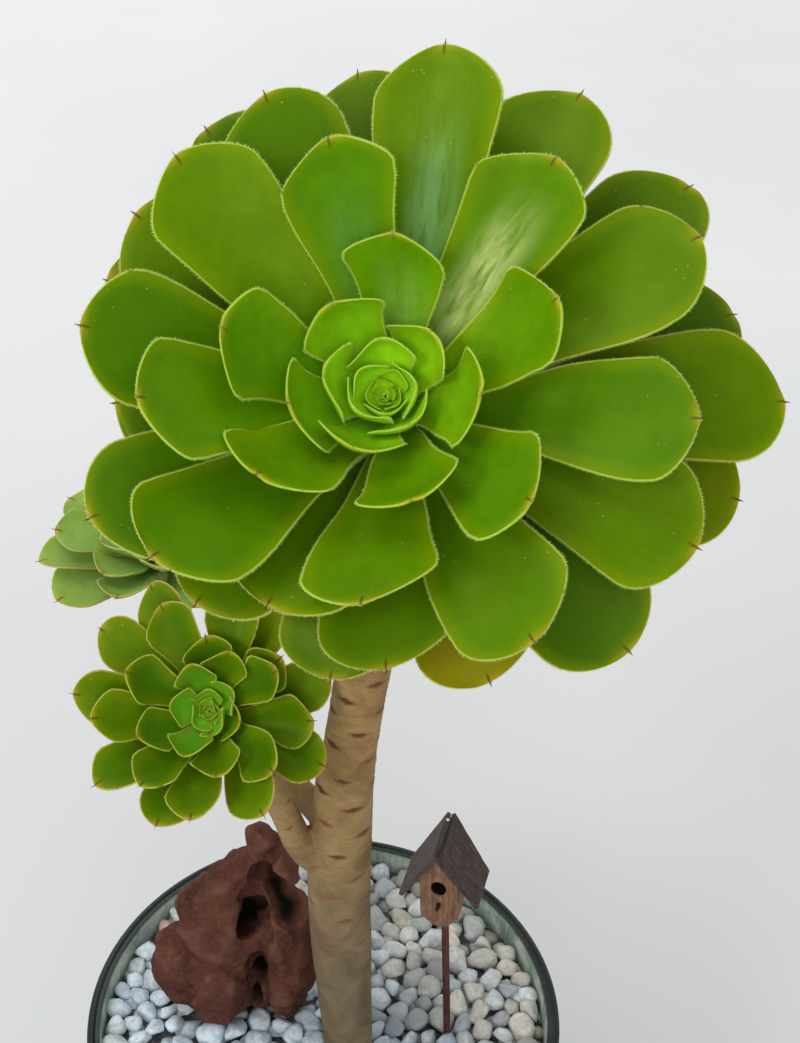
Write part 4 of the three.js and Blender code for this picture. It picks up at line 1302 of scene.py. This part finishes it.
def brown_places(tree, to_tip, across, age, ragged, mottle):
    rib = calc(tree, "ABSOLUTE", across)
    streak = calc(
        tree, "MULTIPLY", span(tree, to_tip, 6.5, 3.5), span(tree, rib, 0.7, 0.2, 0, 0.75),
    )
    point = calc(tree, "MAXIMUM", span(tree, to_tip, 2.6, 1.2), streak)
    flecks = calc(
        tree, "MULTIPLY", span(tree, ragged, 0.8, 0.3), span(tree, mottle, 0.6, 0.68, 0, 0.8),
        span(tree, to_tip, 30, 12),
    )
    return calc(tree, "MULTIPLY", calc(tree, "MAXIMUM", point, flecks), span(tree, age, 0.12, 0.45))


def leaf_finish(name, young_and_glow, grown_up_and_shade, old, margin, margin_old, wax_and_sheen):
    material, tree, shader = new_finish(
        name, Subsurface_Weight=0.18, Subsurface_Scale=0.003, Subsurface_Radius=(0.5, 1.0, 0.1),
        Specular_IOR_Level=0.2, Specular_Tint=(0.95, 1.0, 0.2, 1),
    )
    where = places(tree)
    read = {label: reading(tree, label) for label in LEAF_READINGS}
    along, to_tip, age, across = (read[label] for label in ("along", "to_tip", "age", "across"))
    laid_out = {0: across, 1: read["lengthwise"], 2: read["tint"]}
    blade_place = put(tree, "ShaderNodeCombineXYZ", laid_out)
    fibres = noise(tree, stretched(tree, blade_place, (0.6, 0.05, 1)), 1.0, 3, 0.5)
    strands = noise(tree, stretched(tree, blade_place, (0.22, 0.04, 1)), 1.0, 4, 0.6, 0.5)
    cloud = noise(tree, where, 55, 4, 0.55)
    mottle = noise(tree, where, 240, 4, 0.6)
    cells = {"Vector": where, "Scale": 260.0, "Randomness": 1.0}
    specks = put(tree, "ShaderNodeTexVoronoi", cells, "Distance")

    # the green of the blade, its wax with a painted sheen at the root, and the yellow of sun and
    # wear
    green = leaf_green(tree, age, cloud, young_and_glow, grown_up_and_shade, old)
    green = mix(tree, span(tree, read["tint"], 0.2, 1, 0, 0.2), green, (0.24, 0.34, 0.0))
    green = mix(tree, span(tree, mottle, 0.35, 0.65, 0.14, 0), green, (0.03, 0.11, 0.0))
    # partly painted sheen: the root is paler where its wax reflects the light
    green = mix(tree, span(tree, along, 0.5, 0.0, 0, 0.35), green, wax_and_sheen)
    green = mix(tree, span(tree, read["near_edge"], 7, 0.5, 0, 0.3), green, (0.26, 0.33, 0.0))
    yellow = calc(tree, "MULTIPLY", read["worn"], span(tree, along, 0.15, 0.9, 0.5, 1))
    green = mix(tree, yellow, green, (0.27, 0.22, 0.0))

    # pale dust, dark specks on old leaves, and streaks of painted highlight
    dust = calc(
        tree, "MULTIPLY", span(tree, specks, 0.1, 0.05), span(tree, cloud, 0.5, 0.6, 0, 0.4),
    )
    green = mix(tree, dust, green, (0.5, 0.6, 0.25))
    soil_specks = calc(
        tree, "MULTIPLY", span(tree, specks, 0.07, 0.03), span(tree, cloud, 0.47, 0.4, 0, 0.75),
        span(tree, age, 0.2, 0.6),
    )
    green = mix(tree, soil_specks, green, (0.02, 0.035, 0.002))
    # painted highlight: pale bluish or creamy streaks for the sheen of reflected light
    off_middle = calc(tree, "ABSOLUTE", calc(tree, "SUBTRACT", across, SHEEN_MIDDLE))
    painted_sheen_mask = calc(
        tree, "MULTIPLY", span(tree, along, 0.12, 0.35), span(tree, along, 0.9, 0.5),
        span(tree, off_middle, *SHEEN_HALF), calc(tree, "ABSOLUTE", read["scuff"]),
        span(tree, strands, 0.22, 0.62),
    )
    painted_sheen_colour = mix(tree, span(tree, read["scuff"], -0.01, 0.01), BLUE_SHEEN, CREAM_SHEEN)
    green = mix(tree, painted_sheen_mask, green, painted_sheen_colour)

    # the line along the margin, the gilded end and what is brown
    ragged = frayed(tree, read["near_edge"], mottle, 0.5)
    line = mix(tree, span(tree, age, 0.3, 0.8), margin, margin_old)
    colour = mix(tree, span(tree, ragged, 0.75, 0.3, 0, 0.9), green, line)
    gilt = calc(tree, "MULTIPLY", span(tree, to_tip, 5, 1.5, 0, 0.5), span(tree, age, 0.1, 0.25))
    colour = mix(tree, gilt, colour, (0.5, 0.34, 0.02))
    brown = brown_places(tree, to_tip, across, age, ragged, mottle)
    wire(
        tree, shader,
        Base_Color=mix(tree, brown, colour, (0.07, 0.018, 0.008)),
        Roughness=span(tree, cloud, 0.3, 0.75, 0.34, 0.46),
        Normal=bump(tree, fibres, 0.1, bump(tree, mottle, 0.08)),
    )
    return material


# %% Greens of the three rosettes
# partly painted light: the young green is brightened for light glowing through the middle leaves
main_green = leaf_finish(
    "main_leaf_green",
    young_and_glow=(0.4, 0.85, 0.012), grown_up_and_shade=(0.11, 0.305, 0.001), old=(0.043, 0.122, 0.0003),
    margin=(0.42, 0.6, 0.06), margin_old=(0.46, 0.44, 0.07), wax_and_sheen=(0.18, 0.4, 0.012),
)
# partly painted shade: the grown-up green is darkened for the shade among the inner leaves
front_green = leaf_finish(
    "front_leaf_green",
    young_and_glow=(0.15, 0.5, 0.022), grown_up_and_shade=(0.036, 0.125, 0.0006), old=(0.075, 0.165, 0.0005),
    margin=(0.42, 0.5, 0.06), margin_old=(0.5, 0.36, 0.08), wax_and_sheen=(0.13, 0.28, 0.012),
)
back_green = leaf_finish(
    "back_leaf_green",
    young_and_glow=(0.34, 0.6, 0.14), grown_up_and_shade=(0.26, 0.5, 0.12), old=(0.29, 0.44, 0.09),
    margin=(0.45, 0.46, 0.14), margin_old=(0.48, 0.36, 0.14), wax_and_sheen=(0.24, 0.42, 0.17),
)
dress(main_leaves, main_green, "leaf", "main_rosette")
dress(front_leaves, front_green, "leaf", "side_rosette_front")
dress(back_leaves, back_green, "leaf", "side_rosette_back")

# %% Hair and heart finishes
downy, tree, shader = new_finish(
    "margin_hair", Roughness=0.7, Subsurface_Weight=0.7, Subsurface_Scale=0.002,
    Subsurface_Radius=(1.0, 1.0, 0.4), Specular_IOR_Level=0.1,
)
downs = mix(tree, noise(tree, places(tree), 90, 3), (0.5, 0.76, 0.1), (0.72, 0.9, 0.26))
wire(tree, shader, Base_Color=downs)
for piece in (main_hairs, front_hairs, back_hairs):
    dress(piece, downy, "leaf")

heart_green, tree, shader = new_finish("heart_green", Roughness=0.7)
shade = noise(tree, places(tree), 200, 5)
wire(
    tree, shader,
    Base_Color=ramp(tree, shade, [(0.3, (0.05, 0.13, 0.005)), (0.7, (0.12, 0.24, 0.01))]),
    Normal=bump(tree, shade, 0.5),
)
for piece in hearts:
    dress(piece, heart_green, "leaf")

# %% [markdown]
# ## The birdhouse
#
# A little wooden birdhouse stands on a stick in the gravel. It is made upright at the origin: a
# cube is scaled, its two lowest long edges are bevelled, its top is drawn up into a gable, and a
# door and a knot hole are drilled, each a little taller than wide. Then one matrix leans it with
# its stick and sets it in the gravel.

# %% Where the stick stands
STICK_FOOT = Vector((62.6, -6.1, 182)) * MM
STICK_LEAN = math.radians(-3)
HOUSE_FLOOR = 91
HOUSE_YAW = math.radians(-14)
HOUSE_WIDTH, HOUSE_DEPTH, HOUSE_PEAK, HOUSE_CHAMFER = 18, 23, 46, 6
ROOF_SLOPE = math.radians(60)
HOUSE_EAVES = HOUSE_PEAK - HOUSE_WIDTH / 2 * math.tan(ROOF_SLOPE)

on_stick = Matrix.Translation(STICK_FOOT) @ Matrix.Rotation(STICK_LEAN, 4, "Y")
on_floor = Matrix.Translation((0, 0, HOUSE_FLOOR * MM))
on_house = on_stick @ on_floor @ Matrix.Rotation(HOUSE_YAW, 4, "Z")
print("the walls are", round(HOUSE_EAVES, 1), "mm high at the eaves")


def place_on(piece, matrix):
    settle(piece)
    piece.matrix_world = matrix @ piece.matrix_world
    settle(piece)


def pick_edges(piece, wanted):
    bpy.ops.object.mode_set(mode="EDIT")
    bpy.ops.mesh.select_mode(type="EDGE")
    bpy.ops.mesh.select_all(action="DESELECT")
    bpy.ops.object.mode_set(mode="OBJECT")
    spots = [v.co / MM for v in piece.data.vertices]
    for edge in piece.data.edges:
        edge.select = wanted(*(spots[i] for i in edge.vertices))
    bpy.ops.object.mode_set(mode="EDIT")


def soften_edges(piece, width, segments, sharper_than=30):
    modify(piece, "BEVEL", width=width * MM, segments=segments, limit_method="ANGLE",
           angle_limit=math.radians(sharper_than))


# %% House walls
DOOR_LEVEL = 25
HOLES = (  # name, radius, depth, and height of the middle above the house's floor
    ("door", 3.65, 36, DOOR_LEVEL),
    ("knot_hole", 0.8, 3, 13.2),
)
TALLER = 1.2  # how much taller than wide the holes are

house = primitive("cube", "house_walls", size=1, location=(0, 0, HOUSE_EAVES / 2 * MM))
house.scale = (HOUSE_WIDTH * MM, HOUSE_DEPTH * MM, HOUSE_EAVES * MM)
settle(house)
pick_edges(house, lambda a, b: a.z < 1 and b.z < 1 and abs(a.x - b.x) < 0.1)
bpy.ops.mesh.bevel(offset=HOUSE_CHAMFER * MM, segments=1)
bpy.ops.object.mode_set(mode="OBJECT")
pick_edges(house, lambda a, b: min(a.z, b.z) > HOUSE_EAVES - 0.1)
to_peak = (0, 0, (HOUSE_PEAK - HOUSE_EAVES) * MM)
bpy.ops.mesh.extrude_region_move(TRANSFORM_OT_translate={"value": to_peak})
bpy.ops.transform.resize(value=(0, 1, 1), center_override=(0, 0, HOUSE_PEAK * MM))
close_mesh()

for name, radius, depth, level in HOLES:
    drill = rod(name, 40, radius, depth, (0, -HOUSE_DEPTH / 2, level), lying=True)
    drill.scale = (1, TALLER, 1)
    cut(house, drill)
soften_edges(house, 0.3, 2, sharper_than=35)
place_on(house, on_house)

# %% [markdown]
# ### Roof, perch and stick
#
# The two roof boards meet at the ridge and are shorter at the eaves, so their ends rake back.
# Each starts as a thin cube. Its outer edge is drawn in, its edges are softened and its faces
# roughened a little, and then the board is tipped to the slope. The perch and the stick are turned
# rods with softened ends.

# %% Roof boards
BOARD_WIDTH, BOARD_THICK, RIDGE_LENGTH, EAVES_LENGTH, BOARD_GAP = 35, 2, 32, 24, 0.3
TIPPED = Matrix.Rotation(ROOF_SLOPE, 4, "Y")
TURNED_BACK = Matrix.Rotation(math.pi, 4, "Z")


def roof_board(name, turn):
    middle = (BOARD_WIDTH / 2 * MM, 0, BOARD_THICK / 2 * MM)
    board = primitive("cube", name, size=1, location=middle)
    board.scale = ((BOARD_WIDTH - BOARD_GAP) * MM, RIDGE_LENGTH * MM, BOARD_THICK * MM)
    settle(board)
    pick_edges(board, lambda a, b: min(a.x, b.x) > BOARD_WIDTH - 1)
    bpy.ops.transform.resize(value=(1, EAVES_LENGTH / RIDGE_LENGTH, 1), center_override=(0, 0, 0))
    bpy.ops.mesh.select_all(action="SELECT")
    bpy.ops.mesh.subdivide(number_cuts=14)
    bpy.ops.object.mode_set(mode="OBJECT")
    soften_edges(board, 0.35, 2, sharper_than=40)
    pushed(board, name + "_grain", "CLOUDS", 6, 0.35, noise_depth=2)
    ridge = (HOUSE_PEAK + BOARD_GAP / math.cos(ROOF_SLOPE)) * MM
    place_on(board, on_house @ turn @ Matrix.Translation((0, 0, ridge)) @ TIPPED)
    smooth(board, sharp_from=40)
    return board


roof_left = roof_board("roof_board_left", TURNED_BACK)
roof_right = roof_board("roof_board_right", Matrix.Identity(4))

# %% Perch and stick
PERCH_RADIUS, PERCH_LENGTH, PERCH_LEVEL, PERCH_OUT = 1, 7.7, 15, 0.15
STICK_TOP, STICK_DEPTH, STICK_RADIUS = 96.7, 32, 1.8

perch_at = (0, -HOUSE_DEPTH / 2 - PERCH_OUT, PERCH_LEVEL)
perch = rod("perch_peg", 24, PERCH_RADIUS, PERCH_LENGTH, perch_at, lying=True)
soften_edges(perch, 0.3, 3)
place_on(perch, on_house)

stick_at = (0, 0, (STICK_TOP - STICK_DEPTH) / 2)
stick = rod("turned_stick", 24, STICK_RADIUS, STICK_TOP + STICK_DEPTH, stick_at)
edit_all(stick)
bpy.ops.mesh.bisect(plane_co=(0, 0, 0), plane_no=(0, 0, 1))
bpy.ops.object.mode_set(mode="OBJECT")
soften_edges(stick, 0.25, 2)
place_on(stick, on_stick)
for piece in (perch, stick):
    smooth(piece, sharp_from=40)

# %% [markdown]
# ### Wood finishes
#
# Wood is a noise stretched along the grain. The right board of the roof is stained dark and the
# left one has greyed, the walls are bare and warm, the stick is stained red and the perch is
# nearly black. One function makes all five, told which way the grain runs and between which
# colours it wanders. On the walls it also paints shade, nearly black, on what is seen through the
# door.

# %% Wood
ALONG_X, ALONG_Z = (0.12, 1, 1), (1, 1, 0.12)
STAINED = (0.02, 0.011, 0.009), (0.06, 0.036, 0.029), (0.13, 0.085, 0.07)
GREYED = (0.035, 0.022, 0.018), (0.085, 0.058, 0.048), (0.15, 0.11, 0.095)
BARE = (0.1, 0.045, 0.024), (0.2, 0.1, 0.055), (0.32, 0.18, 0.105)
RED = (0.03, 0.008, 0.006), (0.075, 0.02, 0.014), (0.14, 0.045, 0.03)
# nearly black wood for the perch
NEAR_BLACK = (0.008, 0.004, 0.003), (0.025, 0.012, 0.009), (0.06, 0.03, 0.022)
DOOR_RIM = (0.0042, 0.0037)  # the shade starts and is full this far from the door's middle, in m
FRONT_WALL = (-0.0117, -0.0105)  # it starts behind the front
BACK_WALL = (0.0095, 0.0075)  # and ends before the back


# painted shade: what is seen through the door is made nearly black
def painted_door_shade(tree, place):
    x, y, height = axes(tree, place)
    over = calc(tree, "DIVIDE", calc(tree, "SUBTRACT", height, DOOR_LEVEL * MM), TALLER)
    return calc(
        tree, "MULTIPLY", span(tree, far_off(tree, x, over), *DOOR_RIM),
        span(tree, y, *FRONT_WALL), span(tree, y, *BACK_WALL),
    )


def wood(name, matrix, grain_way, colours, with_door_shade=False):
    material, tree, shader = new_finish(name, Roughness=0.72, Specular_IOR_Level=0.35)
    where = places(tree)
    feeds = {
        "Vector": where, "Location": tuple(matrix.translation), "Rotation": matrix.to_euler(),
    }
    upright = put(tree, "ShaderNodeMapping", feeds, vector_type="TEXTURE")
    grain = noise(tree, stretched(tree, upright, grain_way), 1000, 6, 0.62, 0.3)
    blotch = noise(tree, where, 160, 4, 0.6)
    colour = ramp(tree, grain, list(zip((0.3, 0.5, 0.72), colours)))
    colour = mix(tree, span(tree, blotch, 0.4, 0.7, 0, 0.5), colour, colours[0])
    if with_door_shade:
        # painted shade inside the door
        colour = mix(tree, painted_door_shade(tree, upright), colour, (0.003, 0.002, 0.0015))
    wire(tree, shader, Base_Color=colour, Normal=bump(tree, grain, 0.25, bump(tree, blotch, 0.2)))
    return material


# %% Dressing the birdhouse
bare_wood = wood("bare_wood", on_house, ALONG_Z, BARE, with_door_shade=True)
stained_wood = wood("stained_wood", on_house @ TIPPED, ALONG_X, STAINED)
greyed_wood = wood("greyed_wood", on_house @ (TURNED_BACK @ TIPPED), ALONG_X, GREYED)
dress(house, bare_wood, "house_wood", "birdhouse_body")
dress(roof_right, stained_wood, "roof_wood", "birdhouse_roof_right")
dress(roof_left, greyed_wood, "roof_wood", "birdhouse_roof_left")
dress(stick, wood("red_wood", on_stick, ALONG_Z, RED), "stick", "birdhouse_stick")
dress(perch, wood("near_black_wood", on_house, ALONG_Z, NEAR_BLACK), "stick", "birdhouse_perch")

# %% [markdown]
# ### The ridge
#
# A thin tarred wire closes the gap where the two boards meet, and the bright head of a nail stands
# on it near the back.

# %% A wire and a nail head on the ridge
WIRE_RADIUS, WIRE_LENGTH, WIRE_LEVEL = 0.8, 22, 48.9
NAIL_RADIUS, NAIL_BACK, NAIL_LEVEL = 0.75, 8.3, 50


def specked(name, scale, dark, light, **settings):
    material, tree, shader = new_finish(name, **settings)
    wire(tree, shader, Base_Color=mix(tree, noise(tree, places(tree), scale, 3), dark, light))
    return material


ridge_wire = rod("ridge_wire", 16, WIRE_RADIUS, WIRE_LENGTH, (0, 0, WIRE_LEVEL), lying=True)
place_on(ridge_wire, on_house)
smooth(ridge_wire, sharp_from=40)
tarred = specked("tarred_wire", 700, (0.006, 0.005, 0.005), (0.035, 0.03, 0.028), Roughness=0.6)
dress(ridge_wire, tarred, "roof_wood")
nail = primitive(
    "uv_sphere", "nail_head", segments=20, ring_count=10, radius=NAIL_RADIUS * MM,
    location=(0, NAIL_BACK * MM, NAIL_LEVEL * MM),
)
place_on(nail, on_house)
smooth(nail)
zinc = specked("zinc", 900, (0.6, 0.62, 0.62), (0.85, 0.86, 0.85), Roughness=0.35, Metallic=0.2)
dress(nail, zinc, "roof_wood")

# %% [markdown]
# ## Floor and light
#
# A plain pale floor runs far back, so it fills the view, and a painted shade makes it a little
# darker on its near side. The light is soft and comes from all round, like a bright room. Four
# broad lamps add to it: a window on the left, the open room in front, a skylight that gives the
# leaves their sheen, and one that brightens the floor far behind.

# %% Floor
FLOOR_SIZE, FLOOR_BACK = 12, 3
PAPER = [(0.35, (0.885, 0.892, 0.89)), (0.65, (0.93, 0.93, 0.92))]
SHADED_NEAR_SIDE = (-2.75, -1.7)  # y in metres: the painted shade is fullest up to the first, and none from the next

floor = primitive("plane", "pale_floor", size=FLOOR_SIZE, location=(0, FLOOR_BACK, 0))
pale, tree, shader = new_finish("pale_paper", Roughness=0.9)
where = places(tree)
paper = ramp(tree, noise(tree, where, 1.6, 3, 0.5), PAPER)
# painted shade: the near side of the floor is darkened by up to a fifth
painted_floor_shade = span(tree, axes(tree, where)[1], *SHADED_NEAR_SIDE, 0.19, 0.0)
wire(tree, shader, Base_Color=mix(tree, painted_floor_shade, paper, (0.0, 0.0, 0.0)))
floor.data.materials.append(pale)

# %% Lamps
ROOM_LIGHT, ROOM_STRENGTH = (0.97, 0.985, 1.0, 1), 0.68
LAMPS = (  # name, place, what it points at, size, power and colour
    ("window", (-1.0, -1.07, 1.28), (0, 0, 0.5), 0.45, 6.5, (0.98, 0.99, 1.0)),
    ("room_front", (0.1, -1.6, 1.05), (0, 0, 0.5), 0.8, 6, (0.98, 0.99, 1.0)),
    ("skylight", (-0.5, -0.2, 1.8), (0.02, -0.04, 0.5), 0.6, 4, (0.97, 0.99, 1.0)),
    ("far_wall", (-1.4, 3.4, 2.8), (-0.8, 2.6, 0), 3.0, 34, (1.0, 1.0, 0.99)),
)

world = bpy.context.scene.world or bpy.data.worlds.new("soft_room")
bpy.context.scene.world = world
world.use_nodes = True
world.node_tree.nodes["Background"].inputs["Color"].default_value = ROOM_LIGHT
world.node_tree.nodes["Background"].inputs["Strength"].default_value = ROOM_STRENGTH

for name, spot, target, size, power, colour in LAMPS:
    bpy.ops.object.light_add(type="AREA", location=spot)
    light = bpy.context.object
    light.name = name
    light.data.size = size
    light.data.energy = power
    light.data.color = colour
    toward = Vector(target) - Vector(spot)
    light.rotation_euler = toward.to_track_quat("-Z", "Y").to_euler()
bpy.context.scene.view_settings.view_transform = "Standard"
print("lamps:", [row[0] for row in LAMPS])
